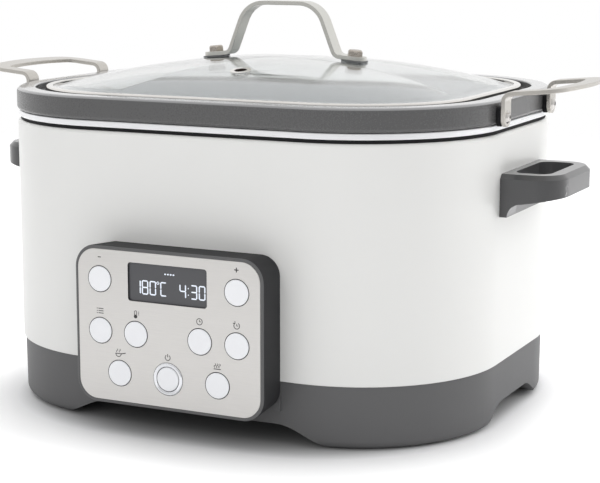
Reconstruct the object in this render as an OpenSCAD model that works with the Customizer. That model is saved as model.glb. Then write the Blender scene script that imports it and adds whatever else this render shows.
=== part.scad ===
// Slow cooker: a rounded-rectangle housing with a lift-out pot, a glass lid and a push-button panel.
// Origin: on the table, at the centre of the footprint. +X is the user's right, -Y the control panel, +Z up.

/* [Housing] */
// Length of the housing, end to end
body_w = 350; // [335:1:370]
// Depth of the housing, front to back
body_d = 281; // [270:1:300]
// Corner radius of the housing in plan
body_r = 98; // [92:1:106]
// Height of the moulded base, table to steel shell
base_h = 42; // [40:1:48]
// Height of the steel shell
shell_h = 152.5; // [148:0.5:165]
// Sheet thickness of the steel shell
shell_t = 1.2; // [0.8:0.1:1.6]
// Width of the flange turned in at the top of the shell
shell_flange = 13; // [11:0.5:16]
// Width of the hem turned in at the bottom of the shell
shell_hem = 6; // [5:0.5:7]
// Outside radius of the shell's top edge
shell_edge_r = 2.5; // [1.8:0.1:3]

/* [Base] */
// Wall thickness of the moulded base and its floor
base_t = 3; // [2.5:0.1:4]
// Inset of the base's top edge from the face of the shell
base_step = 1.4; // [1:0.1:2]
// How far the base wall draws in between its top and its soles
base_draft = 5.3; // [3:0.1:7]
// Height of the arches between the feet
arch_h = 13.5; // [11:0.5:16]
// Half length of the level top of the front and rear arches
arch_flat_x = 62; // [55:1:68]
// Half length of the front and rear arches at the table
arch_foot_x = 106; // [102:1:108]
// Half length of the level top of the side arches
arch_flat_y = 24; // [18:1:30]
// Half length of the side arches at the table
arch_foot_y = 60; // [54:1:64]
// Height of the lip that centres the shell on the base
spigot_h = 4; // [3:0.5:6]
// Radius of a rubber foot
foot_r = 11; // [9:0.5:12]
// Thickness of a rubber foot
foot_t = 3; // [2.5:0.1:4]
// How far the rubber feet stand proud of the soles
foot_proud = 1.2; // [0.8:0.1:1.6]
// Distance of a rubber foot from the middle, along X
foot_x = 121; // [119:1:124]
// Distance of a rubber foot from the middle, along Y
foot_y = 83; // [80:1:86]
// Length of the bottom cover plate
cover_w = 112; // [108:1:116]
// Depth of the bottom cover plate
cover_d = 150; // [130:1:180]
// Sheet thickness of the bottom cover
cover_t = 1.2; // [0.8:0.1:1.6]
// Distance from the cover's edge to its screws
cover_screw_in = 6; // [5:0.5:7]

/* [Heating well] */
// Thickness of the black seal between shell and well
seal_t = 2.3; // [1.8:0.1:3]
// Inset of the seal from the face of the shell
seal_in = 2; // [1.5:0.1:2.6]
// Visible height of the well's rim
ring_h = 4.1; // [3.5:0.1:5]
// Inset of the well's rim from the face of the shell
ring_in = 0.8; // [0.5:0.1:1.2]
// Width of the rolled hem of the well's rim
ring_hem = 2.2; // [1.8:0.1:3]
// Inset of the well's wall from the face of the shell
well_in = 20; // [18.5:0.5:21]
// Sheet thickness of the well
well_t = 1.2; // [0.8:0.1:1.5]
// Air gap between the pot's bottom and the well's floor
well_air = 5; // [4:0.5:7]
// Radius at the bottom edge of the well
well_fillet = 10; // [6:1:14]

/* [Cooking pot] */
// Height of the pot's collar above the well's rim
collar_h = 15.3; // [14.5:0.1:18]
// How far the collar stands proud of the shell's face
collar_out = 0.5; // [0:0.1:1.5]
// Width of the collar's level land
land_w = 13; // [12:0.5:15]
// Depth of the step that the lid sits in
ledge_drop = 5.5; // [5:0.1:6]
// Width of the ledge under the lid's rim
ledge_w = 14.5; // [13.5:0.5:16]
// Depth of the pot from the top of the collar to its floor
pot_depth = 110; // [100:1:115]
// How far the pot's wall draws in from top to bottom
pot_draft = 8; // [5:0.5:12]
// Wall thickness of the pot
pot_t = 2.5; // [2:0.1:3.5]
// Floor thickness of the pot
pot_floor_t = 4; // [3:0.5:6]
// Thickness of the collar's skirt, land and ledge
collar_t = 3; // [2.5:0.1:3.5]
// Inside radius between the pot's wall and floor
pot_fillet = 14; // [8:1:20]
// Outside radius of the collar's edges
collar_r = 2.8; // [1.5:0.1:3.4]
// Gap between parts that rest on one another but lift apart
seat_gap = 0.3; // [0.2:0.05:0.5]

/* [Pot handles] */
// Thickness of the steel strip of all the strip handles
strip_t = 2.8; // [2.2:0.1:3.2]
// Width of the steel strip of all the strip handles
strip_w = 12.5; // [11:0.5:14]
// Distance of the pot handle's legs from its middle
leg_y = 47.3; // [44:0.1:50]
// How far the pot handle's tip stands out from the face of the shell
pot_out = 48.5; // [44:0.5:54]
// Inside radius of the bend over the collar
bend_r = 4; // [3:0.5:6]
// Height of the grip's middle above the well's rim, over the legs
grip_up = 20; // [19:0.1:23]
// Tilt of the grip above the level
grip_tilt = 5.3; // [2:0.1:8]
// Corner radius of the grip, at the middle of the strip
grip_corner = 12; // [9:0.5:16]
// Half angle of the grip's outer bow
grip_bow = 14; // [10:0.5:18]
// Thickness of the pad between leg and collar
pad_t = 2.8; // [2:0.1:3.5]
// Height of that pad
pad_h = 12; // [10:0.5:13]
// Radius of a rivet's shank
rivet_r = 2.5; // [2:0.1:3]
// Radius of a rivet's head
rivet_head_r = 4.4; // [3.8:0.1:5]
// Height of a rivet's head
rivet_head_h = 1.8; // [1.2:0.1:2.4]
// Height of the rivets above the well's rim
rivet_up = 5.4; // [5:0.1:6.5]

/* [Lid] */
// Inset of the lid's rim from the face of the shell
lid_in = 19.5; // [18:0.5:21]
// Thickness of the lid's glass
glass_t = 4; // [3:0.1:4.4]
// Rise of the glass from its edge to its crown
dome_h = 19.7; // [15:0.1:26]
// Exponent of the dome: higher is flatter on top
dome_power = 2.2; // [1.8:0.1:2.6]
// Share of the glass inside its level edge
dome_share = 0.95; // [0.93:0.01:0.96]
// Sheet thickness of the lid's steel rim
rim_t = 0.8; // [0.6:0.1:1]
// Width of the lid's steel rim in plan
rim_w = 6.5; // [5:0.5:7]
// Distance of the vent from the middle, towards the panel
vent_y = 66; // [56:1:72]
// Radius of the vent's flange
vent_flange_r = 7.2; // [6.2:0.1:8]
// Radius of the vent's hole
vent_hole_r = 4.2; // [3.5:0.1:4.6]

/* [Lid handle] */
// Distance of the lid handle's bolts from the middle
bolt_x = 53.7; // [50:0.1:58]
// Distance of the foot's end from its bolt
foot_end = 8.5; // [7.5:0.5:10]
// Height of the handle's top above the crown of the glass
handle_rise = 38.5; // [34:0.5:44]
// Half length of the handle's level top
handle_flat = 14; // [10:0.5:18]
// Outside radius of the handle's corners
handle_corner = 20.5; // [16:0.5:24]
// Lean of the handle's legs from the upright
leg_lean = 21.5; // [16:0.5:26]
// Thickness of the gasket under the handle's feet
gasket_t = 1.2; // [0.8:0.1:1.6]
// Radius of a lid bolt's shank
bolt_r = 2.5; // [2:0.1:3]
// Radius of a lid bolt's head
bolt_head_r = 4.8; // [4.2:0.1:5.4]
// Height of a lid bolt's head
bolt_head_h = 4.2; // [3.4:0.1:5]
// Radius of a lid nut
nut_r = 6; // [5.2:0.1:6.6]
// Height of a lid nut
nut_h = 4.5; // [3.5:0.1:5.5]

/* [Side handles] */
// How far the grip stands out from the face of the shell
side_out = 40; // [36:0.5:45]
// Length of the handle along the housing
side_len = 84; // [80:1:84]
// Height of the handle's top above the table
side_top = 168.5; // [160:0.5:174]
// Height of the part that lies on the shell
side_plate_h = 28; // [26:0.5:32]
// Thickness of the part that lies on the shell
side_plate_t = 5; // [4:0.5:6]
// Thickness of the grip, top to bottom, at its outer end
side_grip_h = 14.5; // [13:0.5:16]
// Thickness of the grip beyond the finger slot
side_grip_t = 11; // [9:0.5:13]
// Width of the arms beside the finger slot
side_arm_w = 11; // [10:0.5:13]
// Corner radius of the handle in plan
side_corner_r = 20; // [16:0.5:24]
// Size of the bevel round the handle's top edge
side_bevel = 3; // [2:0.5:4]
// Radius of the hollow under the grip, at the shell
side_hollow_r = 9; // [7:0.5:10]
// Radius of a handle screw's shank
screw_r = 2; // [1.6:0.1:2.2]
// Length of a handle screw's shank
screw_l = 16; // [12:0.5:20]
// Radius of a handle screw's head
screw_head_r = 4.2; // [3.6:0.1:4.6]
// Height of a handle screw's head
screw_head_h = 2.6; // [2:0.1:3]

/* [Control panel] */
// Width of the steel fascia
fascia_w = 131.6; // [129:0.2:136]
// Height of the steel fascia
fascia_h = 99; // [97:0.5:102]
// Height of the fascia's middle above the table
fascia_z = 73.1; // [72:0.1:76]
// Thickness of the steel fascia
fascia_t = 1.5; // [1:0.1:1.8]
// Corner radius of the fascia
fascia_r = 13; // [10:0.5:16]
// Width of the bezel's rim round the fascia
bezel_rim = 2.4; // [1.8:0.1:3.2]
// Wall thickness of the bezel
bezel_t = 2.3; // [2:0.1:2.8]
// How far the panel stands out from the shell
panel_out = 27.2; // [26:0.1:30]
// How much the bezel draws in towards the shell
bezel_draft = 2.2; // [1:0.1:3]
// Width of the ledge behind the fascia
ledge_in = 3.6; // [3:0.1:4.2]
// Width of the display's opening
display_w = 57; // [52:0.5:60]
// Height of the display's opening
display_h = 24.8; // [22:0.2:26]
// Distance of the display's middle below the fascia's top edge
display_drop = 19.4; // [18.5:0.1:20.5]
// Corner radius of the display's opening
display_r = 2; // [1:0.1:3]
// Distance of the outer buttons from the fascia's ends
button_in = 16.3; // [15.8:0.1:17.5]
// Distance between an outer button and its inner neighbour
button_pitch = 26.3; // [24.5:0.1:27.5]
// Distance of the lower buttons from the fascia's ends
low_button_in = 30.2; // [29:0.1:32]
// Distance of the minus and plus buttons below the fascia's top edge
top_row_drop = 19.6; // [18.8:0.1:20.5]
// Height of the middle row of buttons above the fascia's middle
middle_row_up = -3.9; // [-5:0.1:-3]
// Height of the lower row of buttons above the fascia's bottom edge
low_row_rise = 18.7; // [17.5:0.1:19.5]
// Radius of a button's cap
button_r = 8.3; // [7.6:0.1:8.6]
// Radius of the start button's cap
start_r = 7.8; // [7:0.1:8]
// Gap round a button's cap
button_gap = 0.4; // [0.3:0.05:0.5]
// How far the caps stand proud of the fascia
button_proud = 0.8; // [0.4:0.1:1.4]
// Travel of a button
button_travel = 1.2; // [0.8:0.1:1.4]
// Outside radius of the ring round the start button
start_ring_r = 10.6; // [10:0.1:11]

/* [Electrics] */
// Radius of the mains cord's bore in its gland
cord_r = 3.6; // [3:0.1:4]
// Length of the gland outside the housing
gland_out = 11.5; // [8:0.5:16]
// Distance of the gland from the middle
gland_x = 58; // [50:1:60]
// Height of the gland above the table
gland_z = 29; // [27:0.5:31]
// Length of the power board
board_w = 112; // [100:1:116]
// Depth of the power board
board_d = 74; // [66:1:78]
// Thickness of the circuit boards
board_t = 1.6; // [1.2:0.1:2]
// Height of the stand-offs under the power board
standoff_h = 7; // [5:0.5:9]
// Thickness of the heating plate
heater_t = 4; // [3:0.5:5]
// Radius of the tubular heating element
element_r = 3.6; // [3:0.1:4.2]
// Distance of the heat shield below the heating plate
shield_drop = 20; // [17:1:24]
// Distance of the tie rods from the middle, along X
tie_x = 95; // [90:1:98]
// Distance of the tie rods from the middle, along Y
tie_y = 47; // [44:1:50]
// Radius of a tie rod above the heat shield
tie_r = 4; // [3.5:0.1:4.5]
// Radius of the temperature sensor's cap
sensor_r = 9.2; // [8:0.1:10]
// Running clearance round the sensor's cap, tie rods and screws
run_gap = 0.1; // [0.05:0.01:0.1]
// Wire radius of the sensor's spring
wire_r = 0.5; // [0.4:0.05:0.6]
// Turns of the sensor's spring
spring_turns = 5; // [4:1:7]

/* [Hidden] */
$fn = 96;
eps = 0.01;
// Levels above the table
shell_top = base_h + shell_h;
ring_z = shell_top + seal_t;
rim_z = ring_z + ring_h;
pot_z = rim_z + seat_gap;
collar_top = rim_z + seat_gap + collar_h;
ledge_z = collar_top - ledge_drop;
pot_floor_z = collar_top - pot_depth;
pot_bottom = pot_floor_z - pot_floor_t;
well_floor_z = pot_bottom - well_air;
well_bottom = well_floor_z - well_t;
heater_z = well_bottom - heater_t;
shield_z = heater_z - shield_drop;
floor_z = arch_h + base_t;
glass_z = ledge_z + seat_gap + rim_t + run_gap;
crown_z = glass_z + glass_t + dome_h;
rivet_z = rim_z + rivet_up;
pot_reach = body_w / 2 + pot_out;
// Insets from the face of the shell
ledge_edge = land_w - collar_out;
pot_in = ledge_edge + ledge_w;
glass_in = lid_in + rim_t + run_gap;
glass_a = body_w / 2 - glass_in;
glass_b = body_d / 2 - glass_in;
glass_r = body_r - glass_in;
// The footprint is centred between the button caps and the end of the cord gland
front_reach = body_d / 2 + panel_out + button_proud;
rear_reach = body_d / 2 + gland_out;
home_y = (front_reach - rear_reach) / 2;
face_y = -body_d / 2 - panel_out;
bezel_w = fascia_w + 2 * bezel_rim;
bezel_h = fascia_h + 2 * bezel_rim;
display_up = fascia_h / 2 - display_drop;
button_x = fascia_w / 2 - button_in;
top_row_up = fascia_h / 2 - top_row_drop;
low_row_up = low_row_rise - fascia_h / 2;
carrier_y = 6;
carrier_t = 2.5;
board_y = 14;
switch_h = 3.5;
sleeve_r = sensor_r + run_gap + 3;
// Flat cable from the panel's board to the power board, and its plugs
ribbon_w = 20;
ribbon_t = 1.2;
ribbon_drop = 20;
ribbon_plug_w = 26;
ribbon_plug_h = 8;
// Names and places of the buttons: [name, x, height above the fascia's middle]
BUTTONS = [
    ["minus_button", -button_x, top_row_up],
    ["plus_button", button_x, top_row_up],
    ["menu_button", -button_x, middle_row_up],
    ["temperature_button", button_pitch - button_x, middle_row_up],
    ["time_button", button_x - button_pitch, middle_row_up],
    ["delay_button", button_x, middle_row_up],
    ["saute_button", low_button_in - fascia_w / 2, low_row_up],
    ["start_button", 0, low_row_up],
    ["keep_warm_button", fascia_w / 2 - low_button_in, low_row_up]
];

// Everything is drawn round the middle of the housing and set home on the footprint
module home() {
    translate([0, home_y, 0]) children();
}

module both_ways(x, y) {
    for (sx = [-1, 1], sy = [-1, 1]) translate([sx * x, sy * y, 0]) children();
}

// Rectangle with round corners, made of true arcs
module rounded(w, d, r) {
    square([w - 2 * r, d], center = true);
    square([w, d - 2 * r], center = true);
    for (sx = [-1, 1], sy = [-1, 1]) translate([sx * (w / 2 - r), sy * (d / 2 - r)]) circle(r);
}

// The housing's outline, drawn in by a given inset
module outline(inset) {
    rounded(body_w - 2 * inset, body_d - 2 * inset, body_r - inset);
}

// Sweeps a 2D section round the housing: its X is the distance out from the outline, its Y is the height
module around(w = body_w, d = body_d, r = body_r) {
    for (i = [0 : 3]) {
        sx = i == 0 || i == 3 ? 1 : -1;
        sy = i < 2 ? 1 : -1;
        translate([sx * (w / 2 - r), sy * (d / 2 - r), 0])
            rotate([0, 0, 90 * i]) rotate_extrude(angle = 90) translate([r, 0]) children();
    }
    for (a = [0, 180]) rotate([0, 0, a]) translate([w / 2, 0, 0])
        rotate([90, 0, 0]) linear_extrude(d - 2 * r, center = true) children();
    for (a = [90, 270]) rotate([0, 0, a]) translate([d / 2, 0, 0])
        rotate([90, 0, 0]) linear_extrude(w - 2 * r, center = true) children();
}

// Box section between two corners with round corners
module round_box(x0, z0, x1, z1, r) {
    translate([(x0 + x1) / 2, (z0 + z1) / 2]) rounded(x1 - x0, z1 - z0, r);
}

module box(x0, z0, x1, z1) {
    translate([x0, z0]) square([x1 - x0, z1 - z0]);
}

// Section of a tub's inside: a drafted wall that meets the floor in a true arc
module tub_section(x_top, x_bottom, z_top, z_floor, fillet, x_in) {
    draft = atan((x_top - x_bottom) / (z_top - z_floor));
    cx = x_bottom + fillet * tan(draft) - fillet / cos(draft);
    cz = z_floor + fillet;
    polygon([
        [x_in, z_floor], [cx, z_floor], [cx + fillet * cos(draft), cz - fillet * sin(draft)],
        [x_top, z_top], [x_in, z_top]
    ]);
    translate([cx, cz]) circle(fillet);
}

// How far the housing's end has drawn back at a distance from its middle
function end_recess(y) =
    let (d = max(0, y - (body_d / 2 - body_r))) body_r - sqrt(body_r * body_r - d * d);

function dir(a) = [cos(a), sin(a)];

function left(a) = [-sin(a), cos(a)];

function heading(p, q) = atan2(q[1] - p[1], q[0] - p[0]);

function reversed(p) = [for (i = [len(p) - 1 : -1 : 0]) p[i]];

function arc_points(c, r, a0, a1, n = 12) = [for (i = [0 : n]) c + r * dir(a0 + (a1 - a0) * i / n)];

// One edge of a bent strip: d to the left of its path p, whose corners are bent to the radii r
function strip_edge(p, r, d, n = 10) = [for (i = [0 : len(p) - 1]) each
    i == 0 ? [p[0] + d * left(heading(p[0], p[1]))]
    : i == len(p) - 1 ? [p[i] + d * left(heading(p[i - 1], p[i]))]
    : let (
        a = heading(p[i - 1], p[i]),
        turn = heading(p[i], p[i + 1]) - a,
        s = sign(turn),
        c = p[i] - r[i] * tan(abs(turn) / 2) * dir(a) + s * r[i] * left(a)
    ) [for (k = [0 : n]) c - (s * r[i] - d) * left(a + turn * k / n)]];

// Side view of a bent strip
module strip_side(p, r, t) {
    polygon(concat(strip_edge(p, r, t / 2), reversed(strip_edge(p, r, -t / 2))));
}

// Pan-head screw along +Z, seated on the origin
module pan_screw(r, len, head_r, head_h) {
    cylinder(r = r, h = len);
    translate([0, 0, -head_h]) cylinder(r = head_r, h = head_h);
}

spigot_in = shell_hem + seat_gap;
spigot_t = 2.5;
tie_boss_h = 9;
tie_boss_r = 8;
board_boss_r = 4;
cover_boss_h = 8;
cover_boss_r = 5;
through = 2 * base_h;
gland_r = cord_r + 2.6;
gland_seat_w = 30;
board_z = floor_z + standoff_h;
board_screw_in = 6;
board_x = board_w / 2 - board_screw_in;
board_in_y = board_d / 2 - board_screw_in;
cover_x = cover_w / 2 - cover_screw_in;
cover_y = cover_d / 2 - cover_screw_in;
pad_bottom = fascia_z - bezel_h / 2 + bezel_draft - 1;
pad_depth = 8;

// Inset of the base's outer face at a height
function base_inset(z) = base_step + base_draft * (base_h - z) / (base_h - foot_proud);

// Underside of an arch: level in the middle, with an S-curve down to each foot
module arch(flat, foot, h) {
    steps = 12;
    side = [for (i = [0 : steps]) [flat + (foot - flat) * i / steps, h * (1 + cos(180 * i / steps)) / 2]];
    other = [for (i = [steps : -1 : 0]) [-side[i][0], side[i][1]]];
    polygon(concat([[-foot, -2]], other, side, [[foot, -2]]));
}

// The two crossing tunnels between the feet, grown by a wall
module tunnels(grow) {
    rotate([90, 0, 0]) linear_extrude(body_d + 20, center = true)
        arch(arch_flat_x + grow / 2, arch_foot_x + grow, arch_h + grow);
    rotate([90, 0, 90]) linear_extrude(body_w + 20, center = true)
        arch(arch_flat_y + grow / 2, arch_foot_y + grow, arch_h + grow);
}

// The base's drafted outline between two heights, drawn in by a wall
module base_solid(z0, z1, wall) {
    core = 45;
    around() polygon([
        [-core, z0], [-base_inset(z0) - wall, z0], [-base_inset(z1) - wall, z1], [-core, z1]
    ]);
    translate([0, 0, z0]) linear_extrude(z1 - z0) outline(core - eps);
}

module base() home() color([0.37, 0.37, 0.38]) difference() {
    union() {
        difference() {
            base_solid(foot_proud, base_h, 0);
            difference() {
                base_solid(foot_proud + base_t, base_h - base_t, base_t);
                tunnels(base_t);
            }
            translate([0, 0, base_h - base_t - eps]) linear_extrude(base_t + 1) outline(spigot_in + spigot_t);
        }
        translate([0, 0, base_h - eps]) linear_extrude(spigot_h + eps) difference() {
            outline(spigot_in);
            outline(spigot_in + spigot_t);
        }
        // Flat seats for the control panel and the cord gland
        translate([-bezel_w / 2 + bezel_draft, -body_d / 2, pad_bottom])
            cube([bezel_w - 2 * bezel_draft, pad_depth, base_h - pad_bottom]);
        translate([gland_x - gland_seat_w / 2, body_d / 2 - pad_depth, floor_z])
            cube([gland_seat_w, pad_depth, base_h - floor_z]);
        both_ways(tie_x, tie_y) translate([0, 0, foot_proud + base_t])
            cylinder(r = tie_boss_r, h = floor_z + tie_boss_h - foot_proud - base_t);
        both_ways(board_x, board_in_y) translate([0, 0, floor_z - eps])
            cylinder(r = board_boss_r, h = standoff_h + eps);
        both_ways(cover_x, cover_y) translate([0, 0, floor_z - eps])
            cylinder(r = cover_boss_r, h = cover_boss_h);
    }
    tunnels(0);
    translate([0, 0, arch_h - 1]) linear_extrude(base_t + 2)
        rounded(cover_w - 4 * cover_screw_in, cover_d - 4 * cover_screw_in, 8);
    both_ways(foot_x, foot_y) translate([0, 0, foot_proud - eps])
        cylinder(r = foot_r + run_gap, h = foot_t - foot_proud + eps);
    both_ways(tie_x, tie_y) cylinder(r = screw_r + run_gap, h = through);
    both_ways(tie_x, tie_y) cylinder(r = screw_head_r + 1, h = foot_proud + base_t + 2);
    both_ways(board_x, board_in_y) translate([0, 0, floor_z + eps])
        cylinder(r = screw_r + run_gap, h = through);
    both_ways(cover_x, cover_y) cylinder(r = screw_r + run_gap, h = through);
    translate([gland_x, body_d / 2 - 2 * pad_depth, gland_z]) rotate([-90, 0, 0])
        cylinder(r = gland_r + run_gap, h = 3 * pad_depth);
    rear_screw_holes();
}

module rubber_feet() home() color([0.08, 0.08, 0.08]) both_ways(foot_x, foot_y) {
    chamfer = 0.8;
    translate([0, 0, chamfer]) cylinder(r = foot_r, h = foot_t - chamfer);
    cylinder(r1 = foot_r - chamfer, r2 = foot_r, h = chamfer);
}

module bottom_cover() home() color([0.7, 0.7, 0.7]) translate([0, 0, arch_h - cover_t]) difference() {
    linear_extrude(cover_t) rounded(cover_w, cover_d, 6);
    both_ways(cover_x, cover_y) translate([0, 0, -1]) cylinder(r = screw_r + run_gap, h = cover_t + 2);
    // Cooling slots
    slot_pitch = 11;
    slot_w = 4;
    for (i = [-4 : 4], sx = [-1, 1]) translate([sx * cover_w / 5, i * slot_pitch, -1])
        linear_extrude(cover_t + 2) rounded(cover_w / 4, slot_w, slot_w / 2 - 0.1);
}

module cover_screws() home() color([0.6, 0.6, 0.6]) both_ways(cover_x, cover_y)
    translate([0, 0, arch_h - cover_t])
        pan_screw(screw_r, cover_t + base_t + cover_boss_h - 2, screw_head_r, screw_head_h);

module base_screws() home() color([0.6, 0.6, 0.6]) {
    both_ways(tie_x, tie_y) translate([0, 0, foot_proud + base_t + 2])
        pan_screw(screw_r, floor_z + tie_boss_h - foot_proud - base_t + 6, screw_head_r, screw_head_h);
    both_ways(board_x, board_in_y) translate([0, 0, board_z + board_t]) mirror([0, 0, 1])
        pan_screw(screw_r, board_t + standoff_h - 1, screw_head_r - 0.6, screw_head_h);
}

// ---- Steel shell, seal and heating well ----

module shell_section() {
    r = shell_edge_r;
    box(-shell_t, base_h, 0, shell_top - r);
    box(-shell_flange, shell_top - shell_t, -r, shell_top);
    box(-shell_hem, base_h, 0, base_h + shell_t);
    translate([-r, shell_top - r]) intersection() {
        difference() {
            circle(r);
            circle(r - shell_t);
        }
        square(r);
    }
}

module rear_screw_holes() {
    for (p = REAR_BOSSES) translate([p[0], -body_d / 2 - 5, fascia_z + p[1]])
        rotate([-90, 0, 0]) cylinder(r = panel_screw_r + run_gap, h = pad_depth + 10);
}

module outer_shell() home() color([0.87, 0.87, 0.86]) difference() {
    around() shell_section();
    // Way in for the panel's ribbon and holes for the panel and handle screws
    translate([-ribbon_plug_w / 2 - 3, -body_d / 2 - 5, fascia_z - ribbon_drop - 6])
        cube([ribbon_plug_w + 6, 10, 12]);
    rear_screw_holes();
    for (s = [-1, 1]) both_ways(0, side_screw_y) translate([s * (body_w / 2 - 5), 0, side_screw_z])
        rotate([0, s * 90, 0]) cylinder(r = screw_r + run_gap, h = 10);
}

module shell_seal() home() color([0.06, 0.06, 0.06]) around() {
    box(-shell_flange, shell_top, -seal_in, ring_z);
    box(-shell_flange, shell_top, -shell_flange + 6, rim_z - well_t);
}

// Inset at which the well's floor is level
well_core = 3 * well_in;

module well_section() {
    hem_r = ring_hem / 2;
    difference() {
        box(-well_in - well_t, well_bottom + well_fillet, -ring_in - hem_r, rim_z);
        box(-well_in, well_bottom - 1, 0, rim_z - well_t);
    }
    round_box(-ring_in - ring_hem, ring_z, -ring_in, rim_z, hem_r - 0.1);
    translate([-well_in - well_fillet, well_bottom + well_fillet]) intersection() {
        difference() {
            circle(well_fillet);
            circle(well_fillet - well_t);
        }
        translate([0, -well_fillet]) square(well_fillet);
    }
    box(-well_core, well_bottom, -well_in - well_fillet, well_floor_z);
}

module heating_well() home() color([0.8, 0.8, 0.8]) difference() {
    union() {
        around() well_section();
        translate([0, 0, well_bottom]) linear_extrude(well_t) outline(well_core - eps);
    }
    translate([0, 0, well_bottom - 1]) cylinder(r = sensor_r + run_gap, h = well_t + 2);
}

// ---- Side handles ----

side_bottom = side_top - side_plate_h;
side_screw_z = side_top - side_grip_h / 2 - 1;
side_screw_y = side_len / 2 - side_arm_w / 2;

module side_profile() difference() {
    polygon([
        [0, side_bottom], [side_plate_t + side_hollow_r, side_bottom],
        [side_plate_t + side_hollow_r, side_bottom + side_hollow_r],
        [side_out, side_top - side_grip_h],
        [side_out, side_top + 1], [0, side_top + 1]
    ]);
    translate([side_plate_t + side_hollow_r, side_bottom]) circle(side_hollow_r);
}

module side_handle(s) home() color([0.4, 0.4, 0.4]) rotate([0, 0, 90 - s * 90])
translate([body_w / 2, 0, 0]) {
    slot_w = side_out - side_plate_t - side_grip_t;
    core = side_corner_r - eps;
    difference() {
        intersection() {
            union() {
                around(2 * side_out, side_len, side_corner_r) polygon([
                    [-core, side_bottom], [0, side_bottom], [0, side_top - side_bevel],
                    [-side_bevel, side_top], [-core, side_top]
                ]);
                translate([0, 0, side_bottom]) linear_extrude(side_plate_h)
                    square([2 * (side_out - core) + eps, side_len - 2 * core + eps], center = true);
            }
            rotate([90, 0, 0]) linear_extrude(side_len + 2, center = true) side_profile();
        }
        translate([side_plate_t + slot_w / 2, 0, side_bottom - 1]) linear_extrude(side_plate_h + 2)
            rounded(slot_w, side_len - 2 * side_arm_w, 8);
        both_ways(0, side_screw_y) translate([-1, 0, side_screw_z])
            rotate([0, 90, 0]) cylinder(r = screw_r + run_gap, h = screw_l + 1);
    }
}

module side_handle_left() side_handle(-1);

module side_handle_right() side_handle(1);

module handle_screws() home() color([0.6, 0.6, 0.6]) for (s = [-1, 1]) both_ways(0, side_screw_y)
    translate([s * (body_w / 2 - shell_t - end_recess(side_screw_y + screw_head_r)), 0, side_screw_z])
        rotate([0, s * 90, 0]) pan_screw(screw_r, screw_l, screw_head_r, screw_head_h);

// ---- Heaters and what carries them ----

tie_foot = floor_z + tie_boss_h;
shield_t = 0.8;
shield_in = 2.1 * well_in;
shield_lip = 8;
lead_hole_x = 40;
lead_hole_r = 7;

module tie_rods() home() color([0.65, 0.65, 0.65]) both_ways(tie_x, tie_y) difference() {
    union() {
        translate([0, 0, tie_foot]) cylinder(r = tie_r + 2, h = shield_z - tie_foot);
        translate([0, 0, shield_z - eps]) cylinder(r = tie_r, h = well_bottom - shield_z + eps);
    }
    translate([0, 0, tie_foot - 1]) cylinder(r = screw_r + run_gap, h = 12);
}

module heat_shield() home() color([0.75, 0.75, 0.76]) difference() {
    union() {
        translate([0, 0, shield_z]) linear_extrude(shield_t) outline(shield_in);
        translate([0, 0, shield_z]) linear_extrude(shield_lip) difference() {
            outline(shield_in);
            outline(shield_in + shield_t);
        }
    }
    both_ways(tie_x, tie_y) cylinder(r = tie_r + run_gap, h = body_d);
    for (x = [-lead_hole_x, lead_hole_x]) translate([x, 0, 0]) cylinder(r = lead_hole_r, h = body_d);
}

// The tubular element runs inside the tie rods at the ends and outside them at the front
heater_in = 2.6 * well_in;
element_w = 2 * (tie_x - 15);
element_d = 2 * (tie_y + 8);
element_bend = element_d / 2 - 5;
element_end_x = 14;

module bottom_heater() home() color([0.6, 0.6, 0.6]) difference() {
    union() {
        translate([0, 0, heater_z]) linear_extrude(heater_t) outline(heater_in);
        around(element_w, element_d, element_bend)
            translate([0, heater_z - element_r + 0.6]) circle(element_r);
        for (s = [-1, 1]) translate([s * element_end_x, -element_d / 2, heater_z - 3 * element_r]) {
            cylinder(r = element_r - 0.6, h = 3 * element_r);
            translate([-0.5, -3, -8]) cube([1, 6, 9]);
        }
    }
    both_ways(tie_x, tie_y) cylinder(r = tie_r + run_gap, h = body_d);
    cylinder(r = sleeve_r + run_gap, h = body_d);
}

module side_heater() home() color([0.72, 0.7, 0.66]) difference() {
    band_t = 2.4;
    band_h = 50;
    band_gap = 8;
    z0 = well_bottom + 18;
    around() box(-well_in + run_gap, z0, -well_in + run_gap + band_t, z0 + band_h);
    translate([-band_gap / 2, 0, 0]) cube([band_gap, body_d, body_d]);
}

module thermal_fuse() home() color([0.85, 0.83, 0.78]) {
    fuse_r = 4;
    fuse_l = 26;
    translate([element_w / 4, 0, heater_z - fuse_r]) rotate([90, 0, 0]) {
        cylinder(r = fuse_r, h = fuse_l, center = true);
        cylinder(r = fuse_r / 5, h = 1.7 * fuse_l, center = true);
    }
}

sleeve_l = 18;
cap_flange_z = well_bottom - seat_gap;

module sensor_sleeve() home() color([0.85, 0.82, 0.75])
translate([0, 0, well_bottom - sleeve_l]) difference() {
    cylinder(r = sleeve_r, h = sleeve_l);
    translate([0, 0, 2]) cylinder(r = sleeve_r - 1.2, h = sleeve_l);
    translate([0, 0, -1]) cylinder(r = 3, h = sleeve_l);
}

module sensor_cap() home() color([0.82, 0.82, 0.82]) {
    top = pot_bottom - seat_gap;
    difference() {
        union() {
            translate([0, 0, cap_flange_z - 1.5]) cylinder(r = sensor_r, h = top - cap_flange_z + 1.5 - 0.6);
            translate([0, 0, top - 0.6 - eps]) cylinder(r1 = sensor_r, r2 = sensor_r - 0.6, h = 0.6 + eps);
            translate([0, 0, cap_flange_z - 1.5]) cylinder(r = sleeve_r - 1.2 - run_gap, h = 1.5);
        }
        translate([0, 0, cap_flange_z - 3]) cylinder(r = sensor_r - 1.2, h = top - cap_flange_z + 3 - 1.2);
    }
}

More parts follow.
